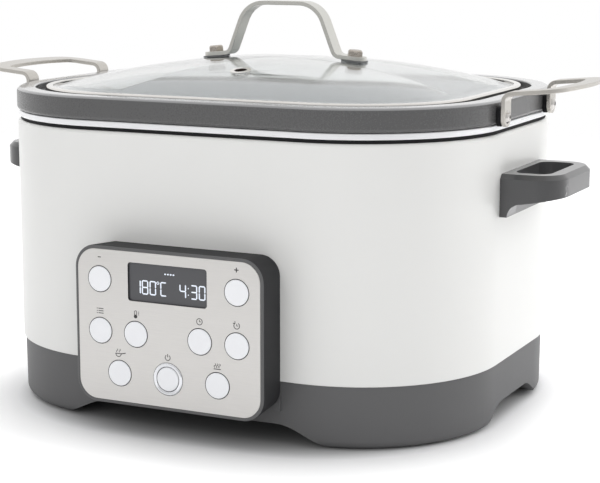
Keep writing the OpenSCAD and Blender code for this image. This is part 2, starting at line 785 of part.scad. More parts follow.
// Coil spring as one closed tube of round wire
module sensor_spring() home() color([0.6, 0.6, 0.6]) {
    z0 = well_bottom - sleeve_l + 2 + wire_r;
    z1 = pot_bottom - 2 * seat_gap - 1.2 - wire_r;
    coil_r = sensor_r - 3.4;
    steps = 20 * spring_turns;
    sides = 8;
    rings = [for (i = [0 : steps]) [for (j = [0 : sides - 1])
        let (a = 360 * i * spring_turns / steps, b = 360 * j / sides, q = coil_r + wire_r * cos(b))
        [q * cos(a), q * sin(a), z0 + (z1 - z0) * i / steps + wire_r * sin(b)]]];
    pts = [for (ring = rings) each ring];
    walls = [for (i = [0 : steps - 1], j = [0 : sides - 1])
        [i * sides + j, (i + 1) * sides + j, (i + 1) * sides + (j + 1) % sides, i * sides + (j + 1) % sides]];
    ends = [[for (j = [0 : sides - 1]) j], [for (j = [sides - 1 : -1 : 0]) steps * sides + j]];
    polyhedron(points = pts, faces = concat(walls, ends));
}

// ---- Power board and mains inlet ----

module power_board() home() color([0.1, 0.35, 0.2]) translate([0, 0, board_z]) difference() {
    linear_extrude(board_t) rounded(board_w, board_d, 2);
    both_ways(board_x, board_in_y) translate([0, 0, -1]) cylinder(r = screw_r + run_gap, h = board_t + 2);
}

// Block-shaped parts on the power board: [x, y, length, depth, height]
BOARD_BLOCKS = [
    [-34, 0, 26, 32, 22],
    [-4, 10, 16, 20, 16],
    [18, 10, 16, 20, 16],
    [38, 14, 8, 18, 10],
    [38, -12, 12, 20, 18]
];
capacitor_r = 6;
capacitor_h = 20;

module power_parts() home() color([0.2, 0.2, 0.22]) translate([0, 0, board_z + board_t]) {
    for (b = BOARD_BLOCKS) translate([b[0], b[1], 0]) linear_extrude(b[4]) rounded(b[2], b[3], 0.8);
    for (x = [4, 20]) translate([x, -14, 0]) cylinder(r = capacitor_r, h = capacitor_h);
}

module terminal_block() home() color([0.9, 0.9, 0.88]) {
    pole_w = 12;
    depth = 16;
    height = 13;
    translate([gland_x - 1.5 * pole_w, body_d / 2 - 40, floor_z]) difference() {
        translate([-1.5 * pole_w, -depth / 2, 0]) cube([3 * pole_w, depth, height]);
        for (i = [-1 : 1]) translate([pole_w * i, 0, 3]) cylinder(r = 3.2, h = height);
        for (i = [-1 : 1]) translate([pole_w * i, 0, 7]) rotate([90, 0, 0])
            cylinder(r = 2, h = 2 * depth, center = true);
    }
}

module cord_gland() home() color([0.12, 0.12, 0.12])
translate([gland_x, body_d / 2, gland_z]) rotate([-90, 0, 0]) {
    difference() {
        union() {
            translate([0, 0, -pad_depth - 5]) cylinder(r = gland_r, h = pad_depth + 5 + eps);
            translate([0, 0, -pad_depth - 4]) cylinder(r = gland_r + 2.6, h = 4);
            cylinder(r = gland_r + 2.2, h = 2.5);
            translate([0, 0, 2.5 - eps]) cylinder(r1 = gland_r, r2 = cord_r + 1.8, h = gland_out - 2.5 + eps);
        }
        translate([0, 0, -pad_depth - 6]) cylinder(r = cord_r, h = pad_depth + gland_out + 8);
    }
}

// ---- Control panel: X is right, Y is up, depths are measured in from the fascia's face ----

panel_screw_r = 1.5;
panel_head_r = 2.8;
panel_head_h = 2;
panel_boss_r = 4;
corner_in = 7.2;
rear_in = 5.4;

// Places at one inset from the fascia's four corners
function four_corners(inset) =
    [for (sx = [-1, 1], sy = [-1, 1]) [sx * (fascia_w / 2 - inset), sy * (fascia_h / 2 - inset)]];

CORNER_BOSSES = four_corners(corner_in);
REAR_BOSSES = four_corners(rear_in);

// Wall that a rear screw goes through: the shell above, the base's seat below
function rear_wall(p) = p[1] > 0 ? shell_t : pad_depth;

module on_panel() {
    home() translate([0, face_y, fascia_z]) rotate([90, 0, 0]) children();
}

// A flat piece between two depths
module slab(t0, t1) {
    translate([0, 0, -t1]) linear_extrude(t1 - t0) children();
}

// A round piece between two depths
module disc(t0, t1, r) {
    translate([0, 0, -t1]) cylinder(r = r, h = t1 - t0);
}

function edge_gap(b) = b[0] == "start_button" ? start_ring_r + 0.15 : button_r + button_gap;

module bezel_section() {
    edge = 2;
    difference() {
        union() {
            polygon([
                [0, 0], [bezel_rim - edge, 0], [bezel_rim, -edge], [bezel_rim - bezel_draft, -panel_out],
                [bezel_rim - bezel_draft - bezel_t, -panel_out], [bezel_rim - bezel_t, -fascia_t - 2],
                [0, -fascia_t - 2]
            ]);
            translate([bezel_rim - edge, -edge]) circle(edge);
            box(-ledge_in, -fascia_t - 2, 0.3, -fascia_t);
        }
        box(-ledge_in - 1, -fascia_t, 0.1, 3);
    }
}

module panel_bezel() on_panel() color([0.3, 0.3, 0.31]) difference() {
    union() {
        around(fascia_w, fascia_h, fascia_r) bezel_section();
        for (p = CORNER_BOSSES) translate(p) disc(fascia_t, carrier_y, panel_boss_r);
        for (p = REAR_BOSSES) translate(p) disc(panel_out - 8, panel_out, panel_boss_r);
    }
    for (p = CORNER_BOSSES) translate(p) disc(fascia_t + 0.6, carrier_y + 1, panel_screw_r + run_gap);
    for (p = REAR_BOSSES) translate(p) disc(panel_out - 7, panel_out + 1, panel_screw_r + run_gap);
}

module fascia_plate() on_panel() color([0.84, 0.83, 0.81]) slab(0, fascia_t) difference() {
    rounded(fascia_w, fascia_h, fascia_r);
    translate([0, display_up]) rounded(display_w, display_h, display_r);
    for (b = BUTTONS) translate([b[1], b[2]]) circle(edge_gap(b));
}

module display_window() on_panel() color([0.3, 0.32, 0.34]) slab(fascia_t, 2 * fascia_t)
    translate([0, display_up]) rounded(display_w + 4, display_h + 4.2, display_r);

module display_module() on_panel() color([0.12, 0.13, 0.14]) translate([0, display_up, 0]) {
    slab(2 * fascia_t + seat_gap, board_y - 4) rounded(display_w + 1, display_h + 3.2, 1);
    slab(carrier_y - 1.2, carrier_y) rounded(display_w + 9, display_h + 11, 2);
}

module start_ring() on_panel() color([0.9, 0.9, 0.92])
translate([BUTTONS[7][1], BUTTONS[7][2], 0]) difference() {
    union() {
        disc(-button_proud + 0.2, fascia_t + 1.8, start_ring_r);
        disc(fascia_t, fascia_t + 1.8, start_ring_r + 1.4);
    }
    disc(-button_proud - 1, 6, start_r + button_gap);
}

module button_carrier() on_panel() color([0.15, 0.15, 0.16]) difference() {
    union() {
        slab(carrier_y, carrier_y + carrier_t) rounded(fascia_w - 3, fascia_h - 3, fascia_r - 1.5);
        for (b = BUTTONS) translate([b[1], b[2]]) disc(carrier_y, carrier_y + 3, 5);
        for (p = CORNER_BOSSES) translate(p) disc(carrier_y + carrier_t, board_y, 3);
    }
    for (b = BUTTONS) translate([b[1], b[2]]) disc(carrier_y - 1, carrier_y + 4, 3.05);
    for (p = CORNER_BOSSES) translate(p) disc(carrier_y - 1, board_y + 1, panel_screw_r + run_gap);
    translate([0, display_up]) slab(carrier_y - 1, board_y) rounded(display_w + 2, display_h + 4.2, 1);
}

module control_board() on_panel() color([0.1, 0.35, 0.2]) slab(board_y, board_y + board_t) difference() {
    rounded(fascia_w - 5.6, fascia_h - 5, 10);
    for (p = CORNER_BOSSES) translate(p) circle(panel_screw_r + run_gap);
}

module key_switches() on_panel() color([0.16, 0.16, 0.16]) for (b = BUTTONS) translate([b[1], b[2]]) {
    slab(board_y - switch_h, board_y) square(6, center = true);
    disc(board_y - switch_h - 1, board_y - switch_h, 1.7);
}

module panel_screws() on_panel() color([0.6, 0.6, 0.6]) {
    for (p = CORNER_BOSSES) translate([p[0], p[1], -board_y - board_t])
        pan_screw(panel_screw_r, board_y + board_t - fascia_t - 1, panel_head_r, panel_head_h);
    for (p = REAR_BOSSES) translate([p[0], p[1], -panel_out - rear_wall(p)])
        pan_screw(panel_screw_r, rear_wall(p) + 6, panel_head_r, panel_head_h);
}

module panel_ribbon() home() color([0.75, 0.75, 0.78]) {
    w = ribbon_w;
    t = ribbon_t;
    y0 = face_y + board_y + board_t;
    y1 = -body_d / 2 + 14;
    z0 = fascia_z - ribbon_drop;
    z1 = board_z + board_t + ribbon_plug_h;
    y2 = -board_d / 2 + ribbon_plug_h;
    translate([-ribbon_plug_w / 2, y0, z0 - ribbon_plug_h / 2]) cube([ribbon_plug_w, 5, ribbon_plug_h]);
    translate([-w / 2, y0 + 4, z0 - t / 2]) cube([w, y1 - y0 - 4, t]);
    translate([-w / 2, y1 - t, z1 - t / 2]) cube([w, t, z0 - z1 + t]);
    translate([-w / 2, y1 - t, z1 - t / 2]) cube([w, y2 - y1 + t, t]);
    translate([-ribbon_plug_w / 2, y2 - 5, board_z + board_t]) cube([ribbon_plug_w, 6, ribbon_plug_h + 1]);
}

// A button: cap, flange behind the fascia, and a stem with a pocket for the switch's plunger
module button(i) on_panel() color([0.93, 0.94, 0.96]) translate([BUTTONS[i][1], BUTTONS[i][2], 0]) {
    start = BUTTONS[i][0] == "start_button";
    r = start ? start_r : button_r;
    flange = start ? fascia_t + 1.8 + seat_gap : fascia_t + seat_gap;
    flange_t = start ? 0.8 : 1.2;
    round_r = 0.7;
    difference() {
        union() {
            rotate_extrude() {
                box(0, -flange, r, button_proud - round_r);
                box(0, 0, r - round_r, button_proud);
                translate([r - round_r, button_proud - round_r]) circle(round_r, $fn = 32);
            }
            disc(flange, flange + flange_t, r + 1.5);
            disc(flange, 9, 3);
        }
        disc(8, 10, 2.1);
    }
}

module minus_button() button(0);

module plus_button() button(1);

module menu_button() button(2);

module temperature_button() button(3);

module time_button() button(4);

module delay_button() button(5);

module saute_button() button(6);

module start_button() button(7);

module keep_warm_button() button(8);

// ---- Cooking pot ----

tub_core = pot_in + pot_draft + 2 * pot_fillet + 2 * pot_t + 3;

module pot_wall() {
    tub_section(
        -pot_in + pot_t, -pot_in - pot_draft + pot_t, ledge_z, pot_bottom, pot_fillet + pot_t, -tub_core
    );
}

module pot_section() {
    r = collar_r;
    out = collar_out;
    difference() {
        union() {
            // Collar with rounded edges, and the tub's wall
            box(-pot_in, pot_z, out - r, collar_top);
            box(out - r - 1, pot_z + r, out, collar_top - r);
            translate([out - r, pot_z + r]) circle(r);
            translate([out - r, collar_top - r]) circle(r);
            pot_wall();
        }
        // Seat of the lid, and the hollow under the land and the ledge
        box(-pot_in - 1, ledge_z, -ledge_edge, collar_top + 1);
        difference() {
            union() {
                box(-pot_in - 1, pot_z - 1, out - collar_t, ledge_z - collar_t);
                box(-ledge_edge + collar_t, pot_z - 1, out - collar_t, collar_top - collar_t);
            }
            pot_wall();
        }
        tub_section(-pot_in, -pot_in - pot_draft, ledge_z + eps, pot_floor_z, pot_fillet, -tub_core - 1);
    }
}

module cooking_pot() home() color([0.36, 0.36, 0.37]) difference() {
    union() {
        around() pot_section();
        translate([0, 0, pot_bottom]) linear_extrude(pot_floor_t) outline(tub_core - 0.5);
    }
    rivet_places() rotate([0, 90, 0]) cylinder(r = rivet_r + run_gap, h = 20, center = true);
}

// ---- Pot handles: a strip riveted to the collar, bent outwards and bowed at the grip ----

leg_x = body_w / 2 + collar_out + pad_t + strip_t / 2;
leg_end_r = strip_w / 2 + 0.4;

// The rivets' places on the collar, each with +X pointing out of the pot
module rivet_places() {
    for (a = [0, 180]) rotate([0, 0, a]) both_ways(0, leg_y)
        translate([body_w / 2 + collar_out, 0, rivet_z]) children();
}

// Plan of the pot handle: two arms from the legs to the bowed grip, drawn at the strip's outer or inner edge
function grip_plan(d) =
    let (
        y = leg_y - grip_corner,
        k = y / sin(grip_bow),
        x = pot_reach - strip_w / 2 - k - grip_corner,
        c = x + k * cos(grip_bow),
        x0 = leg_x - 2 * strip_w + d
    ) concat(
        [[x0, -leg_y - d]],
        arc_points([c, -y], grip_corner + d, -90, -grip_bow),
        arc_points([x, 0], k + grip_corner + d, -grip_bow, grip_bow),
        arc_points([c, y], grip_corner + d, grip_bow, 90),
        [[x0, leg_y + d]]
    );

module pot_handle(s) home() color([0.8, 0.79, 0.77]) rotate([0, 0, 90 - s * 90]) difference() {
    intersection() {
        rotate([90, 0, 0]) linear_extrude(4 * leg_y, center = true) strip_side([
            [leg_x, rivet_z - strip_w], [leg_x, rim_z + grip_up],
            [pot_reach + 10, rim_z + grip_up + (pot_reach + 10 - leg_x) * tan(grip_tilt)]
        ], [0, bend_r + strip_t / 2, 0], strip_t);
        translate([0, 0, rivet_z - strip_w]) linear_extrude(4 * strip_w) difference() {
            polygon(grip_plan(strip_w / 2));
            polygon(concat(grip_plan(-strip_w / 2), [[0, 0]]));
        }
    }
    // Rounded ends of the legs
    for (sy = [-1, 1]) translate([leg_x, sy * leg_y, rivet_z]) rotate([0, 90, 0]) {
        cylinder(r = rivet_r + run_gap, h = 20, center = true);
        linear_extrude(4 * strip_t, center = true) difference() {
            translate([0, -strip_w]) square([2 * strip_w, 2 * strip_w]);
            circle(leg_end_r);
        }
    }
}

module pot_handle_left() pot_handle(-1);

module pot_handle_right() pot_handle(1);

module pot_handle_pads() home() color([0.1, 0.1, 0.1]) rivet_places() difference() {
    rotate([90, 0, 90]) linear_extrude(pad_t) rounded(pad_h, pad_h, 2);
    rotate([0, 90, 0]) cylinder(r = rivet_r + run_gap, h = 20, center = true);
}

module pot_rivets() home() color([0.85, 0.85, 0.85]) rivet_places() rotate([0, 90, 0]) {
    // The upset end lies on the skirt's inner face, which curves away at the corner
    upset_h = 1.4;
    inner = collar_t + end_recess(leg_y + rivet_head_r) + 0.5 * run_gap;
    translate([0, 0, -inner - upset_h]) cylinder(r = rivet_r, h = inner + upset_h + pad_t + strip_t + eps);
    translate([0, 0, -inner - upset_h]) cylinder(r = rivet_head_r - 0.8, h = upset_h);
    dome_r = (rivet_head_r * rivet_head_r + rivet_head_h * rivet_head_h) / (2 * rivet_head_h);
    translate([0, 0, pad_t + strip_t]) intersection() {
        translate([0, 0, rivet_head_h - dome_r]) sphere(dome_r);
        cylinder(r = rivet_head_r, h = rivet_head_h);
    }
}

// ---- Lid ----

// Height of the glass's upper face at a share of its way out from the middle
function dome(s) = glass_z + glass_t + dome_h * (s < dome_share ? 1 - pow(s / dome_share, dome_power) : 0);

// Slope of the glass, in degrees, at a share of its way out along a half length
function slope(s, half) = atan(dome_h * dome_power * pow(s / dome_share, dome_power - 1) / dome_share / half);

// Points of the glass's outline at a share of its size
function glass_ring(s, z) = [for (q = [0 : 3], i = [0 : 15])
    let (
        a = 90 * q + 90 * i / 15,
        hub = [(q == 0 || q == 3 ? 1 : -1) * (glass_a - glass_r), (q < 2 ? 1 : -1) * (glass_b - glass_r)],
        p = s * (hub + glass_r * dir(a))
    ) [p[0], p[1], z]];

module glass_body() {
    shares = [0.08, 0.2, 0.32, 0.44, 0.55, 0.65, 0.74, 0.82, 0.89, dome_share, 1];
    n = 64;
    last = len(shares) - 1;
    rings = concat(
        [for (s = shares) glass_ring(s, dome(s))],
        [for (i = [last : -1 : 0]) glass_ring(shares[i], dome(shares[i]) - glass_t)]
    );
    m = len(rings);
    pts = [for (ring = rings) each ring];
    walls = [for (i = [0 : m - 2], j = [0 : n - 1])
        [i * n + j, (i + 1) * n + j, (i + 1) * n + (j + 1) % n, i * n + (j + 1) % n]];
    ends = [[for (j = [0 : n - 1]) j], [for (j = [n - 1 : -1 : 0]) (m - 1) * n + j]];
    polyhedron(points = pts, faces = concat(walls, ends));
}

bolt_slope = slope(bolt_x / glass_a, glass_a);
vent_slope = slope(vent_y / glass_b, glass_b);

// The bolts' places on the glass, each with +Z square to the glass and +X pointing outwards
module bolt_places() {
    for (a = [0, 180]) rotate([0, 0, a])
        translate([bolt_x, 0, dome(bolt_x / glass_a)]) rotate([0, bolt_slope, 0]) children();
}

module vent_place() {
    translate([0, -vent_y, dome(vent_y / glass_b)]) rotate([vent_slope, 0, 0]) children();
}

module lid_glass() home() color([0.75, 0.85, 0.88, 0.5]) difference() {
    glass_body();
    bolt_places() cylinder(r = bolt_r + 0.6, h = 30, center = true);
    vent_place() cylinder(r = vent_hole_r + 0.9, h = 30, center = true);
}

module lid_rim() home() color([0.85, 0.85, 0.85]) around() {
    top = glass_z + glass_t + run_gap + rim_t;
    r = 1.4;
    difference() {
        union() {
            box(-lid_in - rim_w, ledge_z + seat_gap, -lid_in - r, top);
            box(-lid_in - rim_w, ledge_z + seat_gap + r, -lid_in, top - r);
            translate([-lid_in - r, ledge_z + seat_gap + r]) circle(r);
            translate([-lid_in - r, top - r]) circle(r);
        }
        box(-lid_in - rim_w - 1, glass_z - run_gap, -lid_in - rim_t, glass_z + glass_t + run_gap);
    }
}

handle_top = crown_z + handle_rise - strip_t / 2;
foot_bend = 5.5;
top_bend = handle_corner - strip_t / 2;
foot_mid = [
    bolt_x + (gasket_t + strip_t / 2) * sin(bolt_slope),
    dome(bolt_x / glass_a) + (gasket_t + strip_t / 2) * cos(bolt_slope)
];
// Corners of the strip's path: end of the foot, foot and leg, leg and top
foot_out = foot_mid + (foot_end + 2) * [cos(bolt_slope), -sin(bolt_slope)];
top_corner = [handle_flat + top_bend * tan((90 - leg_lean) / 2), handle_top];
leg_len = ((top_corner[1] - foot_mid[1]) + tan(bolt_slope) * (top_corner[0] - foot_mid[0]))
    / (cos(leg_lean) - tan(bolt_slope) * sin(leg_lean));
foot_corner = top_corner + leg_len * [sin(leg_lean), -cos(leg_lean)];
half_path = [foot_out, foot_corner, top_corner];

function mirrored(p) = [-p[0], p[1]];

module lid_handle() home() color([0.82, 0.82, 0.8]) difference() {
    intersection() {
        rotate([90, 0, 0]) linear_extrude(2 * strip_w, center = true) strip_side(
            concat([for (p = half_path) mirrored(p)], reversed(half_path)),
            [0, foot_bend, top_bend, top_bend, foot_bend, 0], strip_t
        );
        linear_extrude(2 * crown_z) rounded(2 * (bolt_x + foot_end), strip_w, strip_w / 2 - 0.2);
    }
    bolt_places() cylinder(r = bolt_r + run_gap, h = 20, center = true);
}

module lid_gaskets() home() color([0.06, 0.06, 0.06]) bolt_places() difference() {
    linear_extrude(gasket_t) rounded(2 * foot_end - 1, strip_w + 2.5, 3);
    translate([0, 0, -1]) cylinder(r = bolt_r + run_gap, h = gasket_t + 2);
}

module lid_bolts() home() color([0.85, 0.85, 0.85]) bolt_places() {
    seat = gasket_t + strip_t;
    translate([0, 0, -glass_t - nut_h]) cylinder(r = bolt_r, h = glass_t + nut_h + seat + eps);
    translate([0, 0, seat]) intersection() {
        cylinder(r = bolt_head_r / cos(30), h = bolt_head_h, $fn = 6);
        cylinder(r1 = bolt_head_r + 3.4, r2 = bolt_head_r - 0.8, h = bolt_head_h);
    }
}

module lid_nuts() home() color([0.7, 0.7, 0.7]) bolt_places() difference() {
    translate([0, 0, -glass_t - 0.15 - nut_h]) cylinder(r = nut_r, h = nut_h);
    translate([0, 0, -glass_t - nut_h - 1]) cylinder(r = bolt_r + run_gap, h = nut_h + 2);
}

module steam_vent() home() color([0.85, 0.85, 0.85]) vent_place() rotate_extrude() {
    tube_t = 0.7;
    flange_t = 0.85;
    box(vent_hole_r, -glass_t - 1, vent_hole_r + tube_t, flange_t);
    box(vent_hole_r, 0.15, vent_flange_r, 0.15 + flange_t);
    box(vent_hole_r, -glass_t - 1, vent_flange_r - 0.8, -glass_t - 0.3);
}

base();
rubber_feet();
bottom_cover();
cover_screws();
base_screws();
outer_shell();
shell_seal();
heating_well();
side_handle_left();
side_handle_right();
handle_screws();
tie_rods();
heat_shield();
bottom_heater();
side_heater();
thermal_fuse();
sensor_sleeve();
sensor_spring();
sensor_cap();
power_board();
power_parts();
terminal_block();
cord_gland();
panel_bezel();
fascia_plate();
display_window();
display_module();
start_ring();
button_carrier();
control_board();
key_switches();
panel_screws();
panel_ribbon();
minus_button();
plus_button();
menu_button();
temperature_button();
time_button();
delay_button();
saute_button();
start_button();
keep_warm_button();
cooking_pot();
pot_handle_left();
pot_handle_right();
pot_handle_pads();
pot_rivets();
lid_glass();
lid_rim();
lid_handle();
lid_gaskets();
lid_bolts();
lid_nuts();
steam_vent();
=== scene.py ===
from math import atan2, pi, radians, sin, sqrt, tan

import bmesh
import bpy
from mathutils import Matrix, Vector


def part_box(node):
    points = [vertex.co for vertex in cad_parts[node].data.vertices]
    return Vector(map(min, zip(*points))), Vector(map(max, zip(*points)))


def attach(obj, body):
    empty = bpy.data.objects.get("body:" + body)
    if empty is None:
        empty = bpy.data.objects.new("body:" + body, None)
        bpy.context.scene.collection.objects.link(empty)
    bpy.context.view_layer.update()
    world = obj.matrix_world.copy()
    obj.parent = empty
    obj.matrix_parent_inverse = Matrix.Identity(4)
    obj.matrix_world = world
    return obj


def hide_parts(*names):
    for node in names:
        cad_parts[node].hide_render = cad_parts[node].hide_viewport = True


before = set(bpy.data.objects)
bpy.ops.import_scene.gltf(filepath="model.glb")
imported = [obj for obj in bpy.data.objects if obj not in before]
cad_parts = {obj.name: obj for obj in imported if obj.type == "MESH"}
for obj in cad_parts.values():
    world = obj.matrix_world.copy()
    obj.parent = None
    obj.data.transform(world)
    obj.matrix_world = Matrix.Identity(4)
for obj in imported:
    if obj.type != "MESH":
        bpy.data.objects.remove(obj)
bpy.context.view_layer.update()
mm = 0.001


# ---- Camera ----
# A long lens on the cooker's right-hand front corner, a little above the lid. The frame is cut from
# a wider one, so its middle lies slightly right of and below the lens's axis.
picture_width, picture_height = 600, 483
focal_pixels = 1710.5
axis_pixel = (289.4, 235.9)
sensor_width = 36.0
camera_place = (0.53045, -1.07129, 0.32291)
camera_azimuth, camera_elevation = 26.0, 10.14
lens = bpy.data.cameras.new("camera")
lens.sensor_width = sensor_width
lens.lens = focal_pixels * sensor_width / picture_width
lens.shift_x = (picture_width / 2 - axis_pixel[0]) / picture_width
lens.shift_y = (axis_pixel[1] - picture_height / 2) / picture_width
lens.clip_end = 20
camera = bpy.data.objects.new("camera", lens)
bpy.context.scene.collection.objects.link(camera)
camera.location = camera_place
camera.rotation_euler = (radians(90 - camera_elevation), 0, radians(camera_azimuth))
bpy.context.scene.camera = camera


# ---- Table and studio light ----
# A white table fades into a white room. Soft lamps stand over and behind the cooker and at both its
# ends, with a small low one at the right, and a weaker one lights its front. The glass and the
# steel mirror only the room, never a lamp.
shell_low, shell_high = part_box("outer_shell")
width, depth = shell_high.x - shell_low.x, shell_high.y - shell_low.y
centre_y = (shell_high.y + shell_low.y) / 2
corner = 98 * mm
straight_x, straight_y = width / 2 - corner, depth / 2 - corner
scene = bpy.context.scene
scene.view_settings.view_transform = "Standard"


def link(tree, source, target):
    tree.links.new(source, target)


def math(tree, operation, first, second=0):
    node = tree.nodes.new("ShaderNodeMath")
    node.operation = operation
    for socket, value in zip(node.inputs, (first, second)):
        if isinstance(value, (int, float)):
            socket.default_value = value
        else:
            link(tree, value, socket)
    return node.outputs[0]


def ranged(tree, value, start=0.0, end=1.0, low=0.0, high=1.0):
    """A value carried from start and end to low and high, and held at them beyond."""
    node = tree.nodes.new("ShaderNodeMapRange")
    numbers = {"From Min": start, "From Max": end, "To Min": low, "To Max": high}
    for socket, number in numbers.items():
        node.inputs[socket].default_value = number
    link(tree, value, node.inputs["Value"])
    return node.outputs["Result"]


def seen_directly(tree):
    """1 for rays that come from the camera or through glass."""
    path = tree.nodes.new("ShaderNodeLightPath")
    return math(tree, "MAXIMUM", path.outputs["Is Camera Ray"], path.outputs["Is Transmission Ray"])


# The room is white all round, but metal finds its end behind the camera a shade darker
room_light = 0.62
mirror_dark, mirror_bright = 0.5, 1.0
bright_heading = (-0.35, 0.85, 0.4)
dark_until, bright_from = -0.9, 0.35
world = bpy.data.worlds.new("studio")
world.use_nodes = True
scene.world = world
tree = world.node_tree
background = tree.nodes["Background"]
background.inputs["Color"].default_value = (1, 1, 1, 1)
looking = tree.nodes.new("ShaderNodeTexCoord")
heading = tree.nodes.new("ShaderNodeVectorMath")
heading.operation = "DOT_PRODUCT"
heading.inputs[1].default_value = bright_heading
link(tree, looking.outputs["Generated"], heading.inputs[0])
mirrored = ranged(tree, heading.outputs["Value"], dark_until, bright_from,
                  mirror_dark, mirror_bright)
path = tree.nodes.new("ShaderNodeLightPath")
glossy = math(tree, "MULTIPLY", path.outputs["Is Glossy Ray"],
              math(tree, "SUBTRACT", mirrored, room_light))
plain = math(tree, "ADD", glossy, room_light)
strength = math(tree, "MAXIMUM", plain, seen_directly(tree))
link(tree, strength, background.inputs["Strength"])


def lamp(name, place, target, size, watts):
    data = bpy.data.lights.new(name, "AREA")
    data.shape = "RECTANGLE"
    data.size, data.size_y = size
    data.energy = watts
    thing = bpy.data.objects.new(name, data)
    scene.collection.objects.link(thing)
    thing.location = place
    thing.rotation_euler = (Vector(target) - Vector(place)).to_track_quat("-Z", "Y").to_euler()
    thing.visible_camera = False
    thing.visible_transmission = False
    thing.visible_glossy = False


lamp("lamp_above", (0.1, 0.7, 1.5), (0, 0, 0.1), (1.4, 1.0), 13)
lamp("lamp_right", (1.3, 0.75, 0.7), (0, 0, 0.12), (0.9, 1.0), 6)
lamp("lamp_end", (0.95, 0.82, 0.08), (0.15, 0, 0.1), (0.22, 0.12), 2.2)
lamp("lamp_left", (-1.4, 0.65, 0.6), (0, 0, 0.12), (0.8, 1.0), 10.2)
lamp("lamp_front", (0.15, -1.6, 0.7), (0, 0, 0.12), (1.0, 0.8), 6.1)

table_radius, table_sides = 2.2, 96
table_mesh = bpy.data.meshes.new("table")
bm = bmesh.new()
bmesh.ops.create_circle(bm, cap_ends=True, segments=table_sides, radius=table_radius)
bm.to_mesh(table_mesh)
bm.free()
table = bpy.data.objects.new("table", table_mesh)
scene.collection.objects.link(table)
paint = bpy.data.materials.new("table_white")
paint.use_nodes = True
tree = paint.node_tree
tree.nodes.clear()
out = tree.nodes.new("ShaderNodeOutputMaterial")
white = tree.nodes.new("ShaderNodeBsdfDiffuse")
lift = tree.nodes.new("ShaderNodeEmission")
lifted = tree.nodes.new("ShaderNodeAddShader")
link(tree, white.outputs[0], lifted.inputs[0])
link(tree, lift.outputs[0], lifted.inputs[1])

# The table's colour holds a painted shadow: it is greyest under the cooker's edge, and whitens
# with the distance from its outline, reaching less far out at the cooker's ends
# How much shorter the painted shadow reaches at the cooker's two ends
painted_shadow_end_cut = 25 * mm
contact_from, contact_to = -20 * mm, 80 * mm
painted_shadow_grey, open_white, open_at = (0.25, 0.25, 0.255, 1), (0.95, 0.95, 0.955, 1), 0.6
painted_shadow_steps = ((0.1, 0.3), (0.22, 0.46), (0.34, 0.7), (0.46, 0.93))
painted_shadow_blue = 1.01
where = tree.nodes.new("ShaderNodeTexCoord")
flat = tree.nodes.new("ShaderNodeSeparateXYZ")
link(tree, where.outputs["Object"], flat.inputs[0])
beside = math(tree, "SUBTRACT", math(tree, "ABSOLUTE", flat.outputs["X"]), straight_x - painted_shadow_end_cut)
before = math(tree, "SUBTRACT", flat.outputs["Y"], centre_y)
before = math(tree, "SUBTRACT", math(tree, "ABSOLUTE", before), straight_y)
across = math(tree, "POWER", math(tree, "MAXIMUM", beside, 0), 2)
along = math(tree, "POWER", math(tree, "MAXIMUM", before, 0), 2)
from_hub = math(tree, "SQRT", math(tree, "ADD", across, along))
clear_of = math(tree, "SUBTRACT", from_hub, corner)
contact = ranged(tree, clear_of, contact_from, contact_to)
shade = tree.nodes.new("ShaderNodeValToRGB")
stops = shade.color_ramp.elements
for at, level in painted_shadow_steps:
    stops.new(at).color = (level, level, level * painted_shadow_blue, 1)
stops[0].color = painted_shadow_grey
stops[-1].position = open_at
stops[-1].color = open_white
link(tree, contact, shade.inputs["Fac"])
link(tree, shade.outputs["Color"], white.inputs["Color"])

# Seen directly, the open table glows a little, but not near the cooker, where the glow would lift
# the painted shadow; far out the table gives way to the white room
lift_from, lift_most = 0.34, 0.34
fade_from, fade_to = 0.7, 1.6
table_lift = ranged(tree, contact, start=lift_from, high=lift_most)
link(tree, math(tree, "MULTIPLY", seen_directly(tree), table_lift), lift.inputs["Strength"])
away = tree.nodes.new("ShaderNodeVectorMath")
away.operation = "LENGTH"
link(tree, where.outputs["Object"], away.inputs[0])
beyond = tree.nodes.new("ShaderNodeBsdfTransparent")
mixed = tree.nodes.new("ShaderNodeMixShader")
link(tree, ranged(tree, away.outputs["Value"], fade_from, fade_to), mixed.inputs[0])
link(tree, lifted.outputs[0], mixed.inputs[1])
link(tree, beyond.outputs[0], mixed.inputs[2])
link(tree, mixed.outputs[0], out.inputs["Surface"])
table_mesh.materials.append(paint)


# ---- Moulded base ----
# One injection moulding in grey plastic, 3 mm thick, that stands on four hollow corners between two
# crossing tunnels. Its faces have the fine even grain of a spark-eroded mould.
def noise(tree, vector, size, detail, rough=0.5):
    node = tree.nodes.new("ShaderNodeTexNoise")
    for socket, number in (("Scale", size), ("Detail", detail), ("Roughness", rough)):
        node.inputs[socket].default_value = number
    link(tree, vector, node.inputs["Vector"])
    return node.outputs["Fac"]


grain_detail, grain_rough = 4, 0.6
cloud_size, cloud_detail, cloud_share = 9.0, 3, 0.45
noise_low, noise_high = 0.3, 0.7
glossiest, dullest = 0.02, 1


